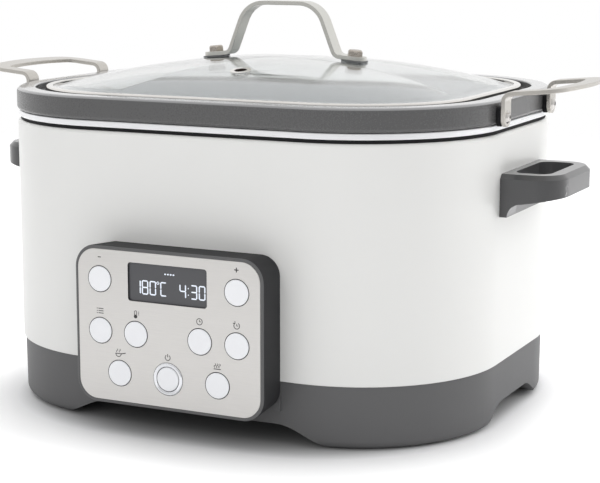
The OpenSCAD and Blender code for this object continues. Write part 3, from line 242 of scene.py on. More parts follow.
def material(name, colour, roughness, metallic=0.0, grain=(1, 1, 1), size=400.0, depth=0.0,
             vary=0.03, rough_vary=0.05, **sockets):
    """A finish whose colour, gloss and height follow one noise; grain is how it is drawn out."""
    made = bpy.data.materials.new(name)
    made.use_nodes = True
    tree = made.node_tree
    shader = tree.nodes["Principled BSDF"]
    shader.inputs["Metallic"].default_value = metallic
    for socket, value in sockets.items():
        shader.inputs[socket.replace("_", " ")].default_value = value
    where = tree.nodes.new("ShaderNodeTexCoord")
    drawn = tree.nodes.new("ShaderNodeMapping")
    drawn.inputs["Scale"].default_value = grain
    link(tree, where.outputs["Object"], drawn.inputs["Vector"])
    fine = noise(tree, drawn.outputs["Vector"], size, grain_detail, grain_rough)
    clouds = noise(tree, where.outputs["Object"], cloud_size, cloud_detail)
    both = tree.nodes.new("ShaderNodeMix")
    both.data_type = "FLOAT"
    both.inputs[0].default_value = cloud_share
    link(tree, fine, both.inputs[2])
    link(tree, clouds, both.inputs[3])
    tint = tree.nodes.new("ShaderNodeValToRGB")
    ends = tint.color_ramp.elements
    ends[0].position = noise_low
    ends[1].position = noise_high
    ends[0].color = (*[c * (1 - vary) for c in colour], 1)
    ends[1].color = (*[min(1, c * (1 + vary)) for c in colour], 1)
    link(tree, both.outputs[0], tint.inputs["Fac"])
    link(tree, tint.outputs["Color"], shader.inputs["Base Color"])
    gloss = ranged(tree, both.outputs[0], noise_low, noise_high,
                   max(glossiest, roughness - rough_vary), min(dullest, roughness + rough_vary))
    link(tree, gloss, shader.inputs["Roughness"])
    if depth:
        bump = tree.nodes.new("ShaderNodeBump")
        bump.inputs["Strength"].default_value = 1.0
        bump.inputs["Distance"].default_value = depth
        link(tree, fine, bump.inputs["Height"])
        link(tree, bump.outputs["Normal"], shader.inputs["Normal"])
    return made


def to_piece(bm, name, body, finishes, nodes=(), sharp=32, edge=0.0, steps=3):
    """Makes a bmesh a piece: smooth but for its sharp edges, which a bevel may ease."""
    for face in bm.faces:
        face.smooth = True
    for side in bm.edges:
        side.smooth = len(side.link_faces) == 2 and side.calc_face_angle(0) < radians(sharp)
    mesh = bpy.data.meshes.new(name)
    bm.to_mesh(mesh)
    bm.free()
    piece = bpy.data.objects.new(name, mesh)
    scene.collection.objects.link(piece)
    for finish in finishes if isinstance(finishes, list) else [finishes]:
        mesh.materials.append(finish)
    if edge:
        eased = piece.modifiers.new("eased", "BEVEL")
        eased.width = edge
        eased.segments = steps
        eased.limit_method = "ANGLE"
        eased.angle_limit = radians(sharp)
        eased.harden_normals = True
    else:
        even = piece.modifiers.new("even", "WEIGHTED_NORMAL")
        even.keep_sharp = True
    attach(piece, body)
    for node in nodes:
        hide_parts(node)
    return piece


join_reach, flat_angle = 2e-6, 0.4


def from_node(node, name, body, finish, edge=0.0, sharp=32, steps=3, change=None):
    """A piece on a node's own surface, with its triangles joined into whole faces."""
    bm = bmesh.new()
    bm.from_mesh(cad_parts[node].data)
    bmesh.ops.remove_doubles(bm, verts=bm.verts, dist=join_reach)
    bmesh.ops.dissolve_limit(bm, angle_limit=radians(flat_angle), verts=bm.verts, edges=bm.edges)
    if change:
        change(bm)
    return to_piece(bm, name, body, finish, [node], sharp, edge, steps)


def past_straight(x, y):
    """How far a point lies past the straight parts of the housing's outline, across and along."""
    return abs(x) - straight_x, abs(y - centre_y) - straight_y


def inset_of(x, y):
    """How far a point lies inside the housing's outline, in plan."""
    over_x, over_y = past_straight(x, y)
    if max(over_x, over_y) > 0:
        return corner - sqrt(max(over_x, 0) ** 2 + max(over_y, 0) ** 2)
    return corner - max(over_x, over_y)


def sliced(bm, point, normal):
    """Cuts each face along a plane, and keeps both halves."""
    bmesh.ops.bisect_plane(bm, geom=bm.verts[:] + bm.edges[:] + bm.faces[:], dist=1e-6,
                           plane_co=point, plane_no=normal)


grey_plastic = material("grey_plastic", (0.105, 0.105, 0.107), 0.5, size=2600, depth=0.00003,
                        vary=0.05)
base_low, base_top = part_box("base")[0].z, shell_low.z
base_step, base_draft, base_wall = 1.4 * mm, 5.3 * mm, 3 * mm
upright_draft, sole_round = 0.5 * mm, 4.8 * mm
sole_cuts, wall_slack = (0.06, 0.15, 0.28, 0.45, 0.68, 1), 0.3 * mm
tunnel_x, tunnel_y = 108 * mm, 62 * mm


def fuller_base(bm):
    """Stands the base's wall nearly upright above a rounded sole, and leaves its soles in place."""
    for share in sole_cuts:
        sliced(bm, (0, 0, base_low + sole_round * share), (0, 0, 1))
    for vert in bm.verts:
        x, y, z = vert.co
        share = (base_top - z) / (base_top - base_low)
        drawn_in = base_step + base_draft * share
        in_wall = inset_of(x, y) - drawn_in
        if share < 0 or not -wall_slack < in_wall < base_wall + wall_slack:
            continue
        fall = max(sole_round - (z - base_low), 0)
        rounded = sqrt(sole_round ** 2 - fall ** 2)
        wanted = base_step + upright_draft * share + sole_round - rounded
        move = drawn_in - wanted
        side_x, side_y = (1 if x > 0 else -1), (1 if y > centre_y else -1)
        over_x, over_y = past_straight(x, y)
        radius = corner - inset_of(x, y) + move
        if abs(x) < tunnel_x and over_y > 0:
            reach = sqrt(radius ** 2 - max(over_x, 0) ** 2)
            vert.co.y = centre_y + side_y * (straight_y + reach)
        elif abs(y - centre_y) < tunnel_y and over_x > 0:
            vert.co.x = side_x * (straight_x + sqrt(radius ** 2 - max(over_y, 0) ** 2))
        else:
            grown = radius / (radius - move)
            vert.co.x = side_x * (straight_x + over_x * grown)
            vert.co.y = centre_y + side_y * (straight_y + over_y * grown)


from_node("base", "moulded_base", "housing", grey_plastic, edge=0.6 * mm,
          change=fuller_base)


# ---- Rubber feet, bottom cover and their screws ----
# Four black rubber discs are pressed into the soles. A pierced zinc-plated sheet closes the floor
# from below, and its four pan-head screws go up into the base's bosses.
black_rubber = material("black_rubber", (0.01, 0.01, 0.011), 0.72, size=1800, depth=0.00004,
                        vary=0.15, Specular_IOR_Level=0.2)
zinc_steel = material("zinc_steel", (0.62, 0.62, 0.6), 0.38, metallic=1.0, size=160, vary=0.08,
                      rough_vary=0.1)
from_node("rubber_feet", "rubber_foot_pads", "housing", black_rubber,
          edge=0.3 * mm)
from_node("bottom_cover", "pierced_cover", "housing", zinc_steel, edge=0.15 * mm,
          steps=2)
from_node("cover_screws", "cover_screw_heads", "housing", zinc_steel, edge=0.5 * mm)


# ---- Inner works ----
# The heaters, shield, rods, fuse, sensor and boards stay as they are built, each in its own finish:
# plated steel, cast aluminium, steatite, epoxy board and dark moulded plastic.
def coat(node, finish):
    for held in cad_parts[node].material_slots:
        held.material = finish


cast_aluminium = material("cast_aluminium", (0.55, 0.55, 0.56), 0.48, metallic=1.0, size=900,
                          depth=0.00005)
steatite = material("steatite", (0.72, 0.69, 0.62), 0.55, size=700, vary=0.06)
circuit_board = material("circuit_board", (0.02, 0.11, 0.045), 0.35, size=240, vary=0.2)
dark_plastic = material("dark_plastic", (0.02, 0.02, 0.022), 0.42, size=1200, depth=0.00002,
                        vary=0.1)
ribbon_plastic = material("ribbon_plastic", (0.5, 0.5, 0.53), 0.4, grain=(1, 0.02, 0.02), size=900,
                          vary=0.25)
for node in ("base_screws", "tie_rods", "heat_shield", "side_heater", "sensor_spring",
             "panel_screws", "handle_screws"):
    coat(node, zinc_steel)
for node in ("bottom_heater", "sensor_cap"):
    coat(node, cast_aluminium)
for node in ("thermal_fuse", "sensor_sleeve", "terminal_block"):
    coat(node, steatite)
for node in ("power_board", "control_board"):
    coat(node, circuit_board)
for node in ("power_parts", "display_module", "button_carrier", "key_switches"):
    coat(node, dark_plastic)
coat("panel_ribbon", ribbon_plastic)


# ---- Steel shell ----
# One band of steel sheet, rolled to the housing's rounded rectangle, with its top edge drawn over
# to a flange and its bottom edge turned in as a hem. It is powder-coated in a warm satin white.
def round_points(points, closed=True, steps=6):
    """The (out, height, radius) points of a section as plain points, with each corner an arc."""
    drawn = []
    last = len(points) - 1
    for place, (out, high, radius) in enumerate(points):
        here = Vector((out, high))
        if radius == 0 or (not closed and place in (0, last)):
            drawn.append(here)
            continue
        before = (Vector(points[place - 1][:2]) - here).normalized()
        after = (Vector(points[(place + 1) % len(points)][:2]) - here).normalized()
        half = before.angle(after) / 2
        reach = radius / tan(half)
        hub = here + (before + after).normalized() * radius / sin(half)
        first, final = here + before * reach - hub, here + after * reach - hub
        turn = first.angle_signed(final)
        for step in range(steps + 1):
            spun = Matrix.Rotation(-turn * step / steps, 2) @ first
            drawn.append(hub + spun)
    return drawn


def extruded(bm, edges):
    """Extrudes a run of edges, and gives the new verts and the new run."""
    grown = bmesh.ops.extrude_edge_only(bm, edges=edges)["geom"]
    verts = [part for part in grown if isinstance(part, bmesh.types.BMVert)]
    edges = [part for part in grown if isinstance(part, bmesh.types.BMEdge) and
             all(vert in verts for vert in part.verts)]
    return verts, edges


def swept(points, closed=True, w=width, d=depth, r=corner, steps=6, corner_steps=28):
    """A section carried round the housing: out is its reach past the outline, high its height."""
    bm = bmesh.new()
    side_x, side_y = w / 2 - r, d / 2 - r
    section = round_points(points, closed, steps)
    verts = [bm.verts.new((w / 2 + point.x, -side_y, point.y)) for point in section]
    pairs = list(zip(verts, verts[1:] + verts[:1])) if closed else list(zip(verts, verts[1:]))
    front = [bm.edges.new(pair) for pair in pairs]
    runs = [(side_x, -side_y, 0, d - 2 * r), (side_x, side_y, -(w - 2 * r), 0),
            (-side_x, side_y, 0, -(d - 2 * r)), (-side_x, -side_y, w - 2 * r, 0)]
    for place, (_, _, run_x, run_y) in enumerate(runs):
        moved, front = extruded(bm, front)
        bmesh.ops.translate(bm, vec=(run_x, run_y, 0), verts=moved)
        hub = (*runs[(place + 1) % len(runs)][:2], 0)
        turned = bmesh.ops.spin(bm, geom=moved + front, cent=hub, axis=(0, 0, 1), angle=pi / 2,
                                steps=corner_steps, use_merge=False)["geom_last"]
        front = [part for part in turned if isinstance(part, bmesh.types.BMEdge)]
    bmesh.ops.remove_doubles(bm, verts=bm.verts, dist=1e-6)
    if not closed:
        rims = [side for side in bm.edges if side.is_boundary]
        bmesh.ops.edgeloop_fill(bm, edges=rims)
    bmesh.ops.recalc_face_normals(bm, faces=bm.faces)
    bmesh.ops.translate(bm, vec=(0, centre_y, 0), verts=bm.verts)
    return bm


shell_paint = material("shell_paint", (0.78, 0.78, 0.765), 0.36, size=1500, depth=0.000006,
                       vary=0.008, rough_vary=0.03)
sheet, flange, hem = 1.2 * mm, 13 * mm, 6 * mm
top_radius, low_radius, low_inner = 2.5 * mm, 0.6 * mm, 0.3 * mm
low, high = shell_low.z, shell_high.z
bm = swept([
    (0, low, low_radius), (0, high, top_radius), (-flange, high, 0), (-flange, high - sheet, 0),
    (-sheet, high - sheet, top_radius - sheet), (-sheet, low + sheet, low_inner),
    (-hem, low + sheet, 0), (-hem, low, 0)
])
to_piece(bm, "painted_shell", "housing", shell_paint, ["outer_shell"])


# ---- Seal and heating well ----
# A black silicone seal lies on the shell's flange. The pressed aluminium well hangs in the housing
# by a rolled bright rim that rests on the seal, and holds the pot.
well_low, well_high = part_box("heating_well")
roll_h, roll_round = 4.1 * mm, 0.9 * mm
roll_low, rim_top = well_high.z - roll_h, well_high.z
seal_in, seal_wide, seal_round = 2 * mm, 7 * mm, 0.3 * mm
well_sheet, well_in, well_core = 1.2 * mm, 20 * mm, 60 * mm
under_rim = rim_top - well_sheet
bm = swept([
    (-seal_in, high, seal_round), (-seal_in, roll_low, seal_round), (-seal_wide, roll_low, 0),
    (-seal_wide, under_rim, 0), (-flange, under_rim, 0), (-flange, high, 0)
])
to_piece(bm, "silicone_seal", "housing", black_rubber, ["shell_seal"])
bright_aluminium = material("bright_aluminium", (0.9, 0.905, 0.92), 0.3, metallic=0.45,
                            grain=(0.1, 0.1, 4), size=300, vary=0.01, rough_vary=0.04)
roll_out, roll_in = 0.8 * mm, 2.2 * mm
well_out, well_floor = well_in + well_sheet, well_low.z + well_sheet
bm = swept([
    (-well_core, well_low.z, 0), (-well_out, well_low.z, 10 * mm), (-well_out, under_rim, 2 * mm),
    (-roll_out - roll_in, under_rim, 0.2 * mm), (-roll_out - roll_in, roll_low, roll_round),
    (-roll_out, roll_low, roll_round), (-roll_out, rim_top, 1.0 * mm),
    (-well_in, rim_top, 2.5 * mm), (-well_in, well_floor, 9 * mm), (-well_core, well_floor, 0)
], closed=False)
to_piece(bm, "heating_well_liner", "housing", bright_aluminium, ["heating_well"])


# ---- Side handles ----
# Two moulded grips in a darker and glossier grey plastic than the base, screwed on from inside the
# shell. A finger slot parts the grip from the plate that lies on the steel.
grip_plastic = material("grip_plastic", (0.055, 0.055, 0.057), 0.35, size=2600, depth=0.00001,
                        vary=0.04, Coat_Weight=0.6, Coat_Roughness=0.12)
for side in ("left", "right"):
    from_node("side_handle_" + side, "side_grip_" + side, "housing", grip_plastic,
              edge=1.1 * mm, steps=4)


# ---- Cord gland ----
# A strain relief moulded in black plastic and snapped into the base's rear seat. The mains lead
# goes in through its bore.
from_node("cord_gland", "cord_strain_relief", "housing", dark_plastic,
          edge=0.4 * mm)


# ---- Panel bezel ----
# A deep frame in dark grey plastic, screwed to the housing from inside, that carries the fascia.
# Its walls draw in towards the shell, and its rounded front lip is painted in the base's lighter
# grey as a painted highlight along that edge.
fascia_low, fascia_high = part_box("fascia_plate")
bezel_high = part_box("panel_bezel")[1]
face_y = fascia_low.y
fascia_x, fascia_z = (fascia_low.x + fascia_high.x) / 2, (fascia_low.z + fascia_high.z) / 2
fascia_w, fascia_h = fascia_high.x - fascia_low.x, fascia_high.z - fascia_low.z
fascia_t = fascia_high.y - fascia_low.y
fascia_corner = 13 * mm
bezel_rim, bezel_wall, bezel_draft, painted_lip_highlight = 2.4 * mm, 2.3 * mm, 2.2 * mm, 0.9 * mm
fascia_gap, ledge_wide, ledge_t = 0.05 * mm, 3.6 * mm, 2 * mm
panel_out = bezel_high.y - face_y


def on_panel(bm):
    """Turns what is drawn flat, with Y up and Z out, to stand on the fascia's face."""
    turn = Matrix.Rotation(pi / 2, 4, "X")
    spot = Matrix.Translation((fascia_x, face_y, fascia_z))
    bmesh.ops.transform(bm, matrix=spot @ turn, verts=bm.verts)
    return bm


bezel_plastic = material("bezel_plastic", (0.03, 0.03, 0.032), 0.7, size=2600, depth=0.00002,
                         vary=0.05, Specular_IOR_Level=0.25)
bezel_back = bezel_rim - bezel_draft
bm = swept([
    (fascia_gap, 0, 0.2 * mm), (bezel_rim, 0, 1.4 * mm), (bezel_back, -panel_out, 0.3 * mm),
    (bezel_back - bezel_wall, -panel_out, 0), (bezel_rim - bezel_wall, -fascia_t - ledge_t, 0),
    (-ledge_wide, -fascia_t - ledge_t, 0), (-ledge_wide, -fascia_t, 0), (fascia_gap, -fascia_t, 0)
], w=fascia_w, d=fascia_h, r=fascia_corner, corner_steps=16)
bmesh.ops.translate(bm, vec=(0, -centre_y, 0), verts=bm.verts)
# The faces nearest the front take the lighter grey: a painted highlight on the rounded lip
for face in bm.faces:
    face.material_index = 1 if face.calc_center_median().z > -painted_lip_highlight else 0
to_piece(on_panel(bm), "bezel_frame", "housing", [bezel_plastic, grey_plastic],
         ["panel_bezel"])


# ---- Steel fascia ----
# A stamped plate of brushed stainless steel, glued on the bezel's ledge, with the display's opening
# and a hole for each button. Its grain runs from side to side.
fascia_steel = material("fascia_steel", (0.71, 0.695, 0.675), 0.36, metallic=1.0,
                        grain=(0.035, 1, 3), size=1500, depth=0.000008, vary=0.07, rough_vary=0.1)
plate_margin, wall_lean = 2 * mm, 0.5


def painted_shade_openings(bm):
    """The walls of the plate's openings are painted dark as painted shade in the gaps; its outer
    edge isn't.
    """
    for face in bm.faces:
        spot = face.calc_center_median()
        in_width = fascia_w / 2 - abs(spot.x - fascia_x) > plate_margin
        in_height = fascia_h / 2 - abs(spot.z - fascia_z) > plate_margin
        in_wall = in_width and in_height and abs(face.normal.y) < wall_lean
        face.material_index = 1 if in_wall else 0


from_node("fascia_plate", "brushed_fascia", "housing", [fascia_steel, dark_plastic],
          edge=0.25 * mm, steps=2, change=painted_shade_openings)


# ---- Display ----
# A tinted acrylic window lies behind the fascia's opening. The seven-segment digits and the small
# progress cells behind it glow bluish white.
window_low, window_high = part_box("display_window")
window_tint = material("window_tint", (0.075, 0.076, 0.082), 0.16, size=60, vary=0.03,
                       rough_vary=0.03)
from_node("display_window", "tinted_window", "housing", window_tint, edge=0.2 * mm,
          steps=2)
display_z = (window_low.z + window_high.z) / 2 - fascia_z
segments = {"0": "abcdef", "1": "bc", "3": "abcdg", "4": "bcfg", "8": "abcdefg", "C": "adef"}
segment_places = {"a": (0.5, 1, False), "g": (0.5, 0, False), "d": (0.5, -1, False),
                  "f": (0, 0.5, True), "b": (1, 0.5, True), "e": (0, -0.5, True),
                  "c": (1, -0.5, True)}
digit_w, digit_h, stroke, segment_gap = 4.8 * mm, 9.3 * mm, 0.85 * mm, 0.15 * mm
point_share = 0.45
lit_depth = 0.08 * mm
lit_z = -fascia_t + 0.02 * mm


def lit_bar(bm, x, y, long, upright, thick=stroke):
    """One lit segment: a flat bar whose ends are drawn to a point."""
    made = bmesh.ops.create_cube(bm, size=1)["verts"]
    size = (thick, long, lit_depth) if upright else (long, thick, lit_depth)
    bmesh.ops.scale(bm, vec=size, verts=made)
    corners = [side for side in {side for vert in made for side in vert.link_edges}
               if abs(side.verts[0].co.z - side.verts[1].co.z) > lit_depth / 2]
    cut = bmesh.ops.bevel(bm, geom=corners, offset=thick * point_share, segments=1,
                          affect="EDGES", profile=0.5, material=-1)
    shape = set(made) & set(bm.verts) | set(cut["verts"])
    bmesh.ops.translate(bm, vec=(x, y, lit_z + lit_depth / 2), verts=list(shape))


def digit(bm, x, y, sign):
    """A seven-segment sign whose left side is at x and whose middle is at y."""
    arm, leg = digit_w - stroke, (digit_h - stroke) / 2
    for name in segments[sign]:
        across, up, upright = segment_places[name]
        long = (leg if upright else arm) - segment_gap
        lit_bar(bm, x + stroke / 2 + across * arm, y + up * leg, long, upright)


bm = bmesh.new()
digits_y = display_z - 3.15 * mm
digit_places = ((-24.6, "1"), (-19.1, "8"), (-13.4, "0"), (-5.6, "C"), (8.3, "4"), (16.3, "3"),
                (22.1, "0"))
for place, sign in digit_places:
    digit(bm, place * mm, digits_y, sign)
colon_x, colon_rise, colon_long = 14.7 * mm, 2.1 * mm, stroke * 1.05
for side in (-1, 1):
    lit_bar(bm, colon_x, digits_y + side * colon_rise, colon_long, True)
degree_x, degree_rise, degree_half = -7.3 * mm, 3.6 * mm, 0.75 * mm
degree_long, degree_thick = 1.3 * mm, 0.5 * mm
for turned in (False, True):
    for side in (-1, 1):
        off = side * degree_half
        shift_x, shift_y = (off, 0) if turned else (0, off)
        lit_bar(bm, degree_x + shift_x, digits_y + degree_rise + shift_y, degree_long, turned,
                degree_thick)
first_cell, cell_step, cell_rise, cell_long, cell_thick = -1.9, 2.0, 6.6 * mm, 1.5 * mm, 1.0 * mm
for cell in range(4):
    lit_bar(bm, (first_cell + cell_step * cell) * mm, display_z + cell_rise, cell_long, False,
            cell_thick)
lit = material("lit_segments", (0.6, 0.64, 0.7), 0.4, size=300, Emission_Strength=0.4,
               Emission_Color=(0.82, 0.88, 1.0, 1))
to_piece(on_panel(bm), "lit_digits", "housing", lit)


# ---- Printed signs ----
# Thin dark ink over each button says what it does: minus and plus, a menu list, a thermometer, a
# clock, a delayed clock, a pan, a power sign and rising warmth.
ink_depth = 0.05 * mm


def ink_bar(bm, x, y, w, h, turn=0):
    made = bmesh.ops.create_cube(bm, size=1)["verts"]
    spot = Matrix.Translation((x * mm, y * mm, ink_depth / 2))
    spun = spot @ Matrix.Rotation(radians(turn), 4, "Z")
    size = Matrix.Diagonal((w * mm, h * mm, ink_depth, 1))
    bmesh.ops.transform(bm, matrix=spun @ size, verts=made)


def ink_arc(bm, x, y, radius, line=0.45, start=0, sweep=360):
    """A drawn ring or part of one, swept from a small upright rectangle."""
    made = bmesh.ops.create_grid(bm, x_segments=1, y_segments=1, size=0.5)["verts"]
    bmesh.ops.transform(bm, verts=made, matrix=Matrix.Rotation(pi / 2, 4, "X"))
    bmesh.ops.scale(bm, vec=(line * mm, 1, ink_depth), verts=made)
    bmesh.ops.translate(bm, vec=(radius * mm, 0, ink_depth / 2), verts=made)
    turn = Matrix.Rotation(radians(start), 3, "Z")
    bmesh.ops.rotate(bm, cent=(0, 0, 0), matrix=turn, verts=made)
    bmesh.ops.translate(bm, vec=(x * mm, y * mm, 0), verts=made)
    face = made[0].link_faces[0]
    whole = sweep == 360
    profile = [face] + list(face.edges) + made
    bmesh.ops.spin(bm, geom=profile, cent=(x * mm, y * mm, 0), axis=(0, 0, 1),
                   angle=radians(sweep), steps=max(8, int(sweep / 9)), use_merge=whole)
    if whole:
        bmesh.ops.delete(bm, geom=[face] if face.is_valid else [], context="FACES_ONLY")


def ink_disc(bm, x, y, radius):
    made = bmesh.ops.create_cone(bm, cap_ends=True, segments=24, radius1=radius * mm,
                                 radius2=radius * mm, depth=ink_depth)["verts"]
    bmesh.ops.translate(bm, vec=(x * mm, y * mm, ink_depth / 2), verts=made)


def button_spot(node):
    """The middle of a button on the fascia, in millimetres across and up."""
    low_end, high_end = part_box(node)
    across, up = (low_end.x + high_end.x) / 2, (low_end.z + high_end.z) / 2
    return (across - fascia_x) / mm, (up - fascia_z) / mm


def clock(bm, x, y, start=0, sweep=360):
    ink_arc(bm, x, y, 2.0, start=start, sweep=sweep)
    ink_bar(bm, x, y + 0.6, 0.4, 1.4)
    ink_bar(bm, x + 0.5, y, 1.2, 0.4)


sign_rise, mark_rise, power_rise = 12.9, 14.3, 14.1
bm = bmesh.new()
x, y = button_spot("minus_button")
ink_bar(bm, x, y + mark_rise, 2.2, 0.6)
x, y = button_spot("plus_button")
ink_bar(bm, x, y + mark_rise, 3.0, 0.65)
ink_bar(bm, x, y + mark_rise, 0.65, 3.0)
x, y = button_spot("menu_button")
for row in (-1, 0, 1):
    ink_bar(bm, x + 0.5, y + sign_rise + 1.5 * row, 3.8, 0.5)
    ink_disc(bm, x - 2.3, y + sign_rise + 1.5 * row, 0.33)
x, y = button_spot("temperature_button")
ink_arc(bm, x, y + sign_rise + 1.7, 0.75, 0.4, 0, 180)
for side in (-1, 1):
    ink_bar(bm, x + 0.75 * side, y + sign_rise + 0.6, 0.4, 2.3)
ink_disc(bm, x, y + sign_rise - 1.3, 1.25)
for row in (0, 1, 2):
    ink_bar(bm, x + 2.2, y + sign_rise + 1.8 - 0.9 * row, 0.9, 0.35)
x, y = button_spot("time_button")
clock(bm, x, y + sign_rise)
x, y = button_spot("delay_button")
clock(bm, x, y + sign_rise, 130, 290)
ink_bar(bm, x - 1.9, y + sign_rise + 1.5, 1.5, 0.45, 5)
ink_bar(bm, x - 1.2, y + sign_rise + 2.2, 1.5, 0.45, 95)
x, y = button_spot("saute_button")
ink_arc(bm, x - 0.8, y + sign_rise, 2.0, 0.5, 180, 180)
ink_bar(bm, x - 0.8, y + sign_rise, 4.5, 0.5)
ink_bar(bm, x + 2.9, y + sign_rise + 0.35, 3.4, 0.6, 12)
for side in (-1, 1):
    ink_arc(bm, x - 0.8 + side, y + sign_rise + 1.4, 0.5, 0.35, 90, 180)
    ink_arc(bm, x - 0.8 + side, y + sign_rise + 2.4, 0.5, 0.35, -90, 180)
x, y = button_spot("start_button")
ink_arc(bm, x, y + power_rise, 1.8, 0.5, 125, 290)
ink_bar(bm, x, y + power_rise + 1.3, 0.5, 2.1)
x, y = button_spot("keep_warm_button")
ink_bar(bm, x, y + sign_rise - 2.2, 5.0, 0.5)
for across in (-1.6, 0, 1.6):
    ink_arc(bm, x + across, y + sign_rise - 0.6, 0.6, 0.4, 90, 180)
    ink_arc(bm, x + across, y + sign_rise + 0.6, 0.6, 0.4, -90, 180)
bmesh.ops.recalc_face_normals(bm, faces=bm.faces)
ink = material("panel_ink", (0.035, 0.034, 0.034), 0.5, size=900, vary=0.1)
to_piece(on_panel(bm), "printed_signs", "housing", ink)


# ---- Start button's ring ----
# A bright plated ring stands round the start button. A flange holds it behind the fascia, and its
# front is rounded over to the outer side.
def lathe(points, node, steps=72):
    """A profile of (radius, height, corner radius) turned about a node's middle on the panel."""
    bm = bmesh.new()
    closed = points[0] != points[-1] and points[0][0] > 0
    verts = [bm.verts.new((p.x, 0, p.y)) for p in round_points(points, closed, 5)]
    pairs = zip(verts, verts[1:] + verts[:1]) if closed else zip(verts, verts[1:])
    sides = [bm.edges.new(pair) for pair in pairs]
    bmesh.ops.spin(bm, geom=verts + sides, cent=(0, 0, 0), axis=(0, 0, 1), angle=2 * pi,
                   steps=steps, use_merge=True)
    bmesh.ops.remove_doubles(bm, verts=bm.verts, dist=1e-6)
    bmesh.ops.recalc_face_normals(bm, faces=bm.faces)
    across, up = button_spot(node)
    bmesh.ops.translate(bm, vec=(across * mm, up * mm, 0), verts=bm.verts)
    return on_panel(bm)


ring_low, ring_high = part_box("start_ring")
ring_flange_r = (ring_high.x - ring_low.x) / 2
ring_r = ring_flange_r - 1.4 * mm
ring_front, ring_back = face_y - ring_low.y, face_y - ring_high.y
start_low, start_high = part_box("start_button")
button_flange = 1.5 * mm
ring_bore = (start_high.x - start_low.x) / 2 - button_flange + 0.4 * mm
ring_plating = material("ring_plating", (0.86, 0.87, 0.9), 0.14, metallic=0.85, size=200, vary=0.02)
bm = lathe([
    (ring_bore, ring_back, 0), (ring_bore, ring_front - 0.3 * mm, 0.25 * mm),
    (ring_r - 0.9 * mm, ring_front, 0.8 * mm), (ring_r, ring_front - 0.4 * mm, 0.5 * mm),
    (ring_r, -fascia_t, 0), (ring_flange_r, -fascia_t, 0), (ring_flange_r, ring_back, 0)
], "start_ring")
to_piece(bm, "start_button_ring", "housing", ring_plating, ["start_ring"])


# ---- Buttons ----
# Nine white caps, each with a skirt, the stem and the flange that stops it behind the fascia. What
# lies behind the fascia's face is painted dark, as painted shade in the gap round the cap. The cap
# is barely domed and its edge is rounded; it presses a switch on the board.
white_plastic = material("white_plastic", (0.85, 0.86, 0.885), 0.32, size=1500, depth=0.00001,
                         vary=0.012)
stem_r, stem_bore, bore_depth, skirt_top = 3 * mm, 2.1 * mm, 1 * mm, -0.1 * mm
usual_flange, start_flange = (-1.8 * mm, 1.2 * mm), (-3.6 * mm, 0.8 * mm)
for name in ("minus", "plus", "menu", "temperature", "time", "delay", "saute", "start",
             "keep_warm"):
    node = name + "_button"
    low_end, high_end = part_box(node)
    cap_r = (high_end.x - low_end.x) / 2 - button_flange
    flange_r = cap_r + button_flange
    front, back = face_y - low_end.y, face_y - high_end.y
    flange_z, flange_h = start_flange if name == "start" else usual_flange
    bm = lathe([
        (0, front, 0), (cap_r * 0.6, front - 0.06 * mm, 3 * mm),
        (cap_r, front - 0.25 * mm, 0.6 * mm), (cap_r, skirt_top, 0), (cap_r, flange_z, 0),
        (flange_r, flange_z, 0), (flange_r, flange_z - flange_h, 0),
        (stem_r, flange_z - flange_h, 0), (stem_r, back, 0), (stem_bore, back, 0),
        (stem_bore, back + bore_depth, 0), (0, back + bore_depth, 0)
    ], node)
    # Faces behind the fascia's face take the dark plastic: painted shade in the gap round the cap
    for face in bm.faces:
        face.material_index = 1 if face.calc_center_median().y > face_y - skirt_top else 0
    to_piece(bm, name + "_cap", name + "_key", [white_plastic, dark_plastic],
             [node])


# ---- Cooking pot ----
# A deep die-cast aluminium tub with a broad collar, which rests on the well's rim. Outside it has a
# dark grey baked coat, glossier on the collar's land, and inside a light grey-blue ceramic one. The
# land is also painted lighter than the rest, as a painted sheen on its top.
pot_low, pot_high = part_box("cooking_pot")
collar_out = (pot_high.x - pot_low.x - width) / 2
collar_edge, collar_wall = 2.8 * mm, 3 * mm
land, ledge_drop, ledge_width = 13 * mm, 5.5 * mm, 14.5 * mm
pot_in = land - collar_out + ledge_width
pot_draft, pot_wall, pot_round = 8 * mm, 2.5 * mm, 14 * mm
pot_depth = 110 * mm
collar_low = well_high.z + 0.3 * mm
top, ledge = pot_high.z, pot_high.z - ledge_drop
floor_top = top - pot_depth
pot_core = pot_in + pot_draft + 2 * pot_round
land_in, collar_in = -land + collar_out, collar_out - collar_wall
under_top, under_ledge = top - collar_wall, ledge - collar_wall
bm = swept([
    (-pot_core, pot_low.z, 0), (-pot_in - pot_draft + pot_wall, pot_low.z, pot_round + pot_wall),
    (-pot_in + pot_wall, under_ledge, 2 * mm), (land_in + collar_wall, under_ledge, 0),
    (land_in + collar_wall, under_top, 0), (collar_in, under_top, 0),
    (collar_in, collar_low, 0.4 * mm), (collar_out, collar_low, collar_edge * 0.9),
    (collar_out, top, collar_edge), (land_in, top, 1.2 * mm), (land_in, ledge, 0.6 * mm),
    (-pot_in, ledge, 2 * mm), (-pot_in - pot_draft, floor_top, pot_round), (-pot_core, floor_top, 0)
], closed=False)
coat_slack, land_deep, land_level = 0.1 * mm, 1.2 * mm, 0.45
for face in bm.faces:
    spot = face.calc_center_median()
    depth_share = (ledge - spot.z) / (ledge - floor_top)
    inner_face = pot_in + pot_draft * min(max(depth_share, 0), 1) - pot_wall / 2
    between = floor_top - coat_slack < spot.z < ledge + coat_slack
    inside = between and inset_of(spot.x, spot.y) > inner_face
    # The top land takes a glossier coat that is also painted lighter, as a painted sheen
    on_land = spot.z > top - land_deep and face.normal.z > land_level
    face.material_index = 1 if inside else 2 if on_land else 0
pot_coat = material("pot_coat", (0.098, 0.098, 0.099), 0.27, size=1300, depth=0.000002, vary=0.02)
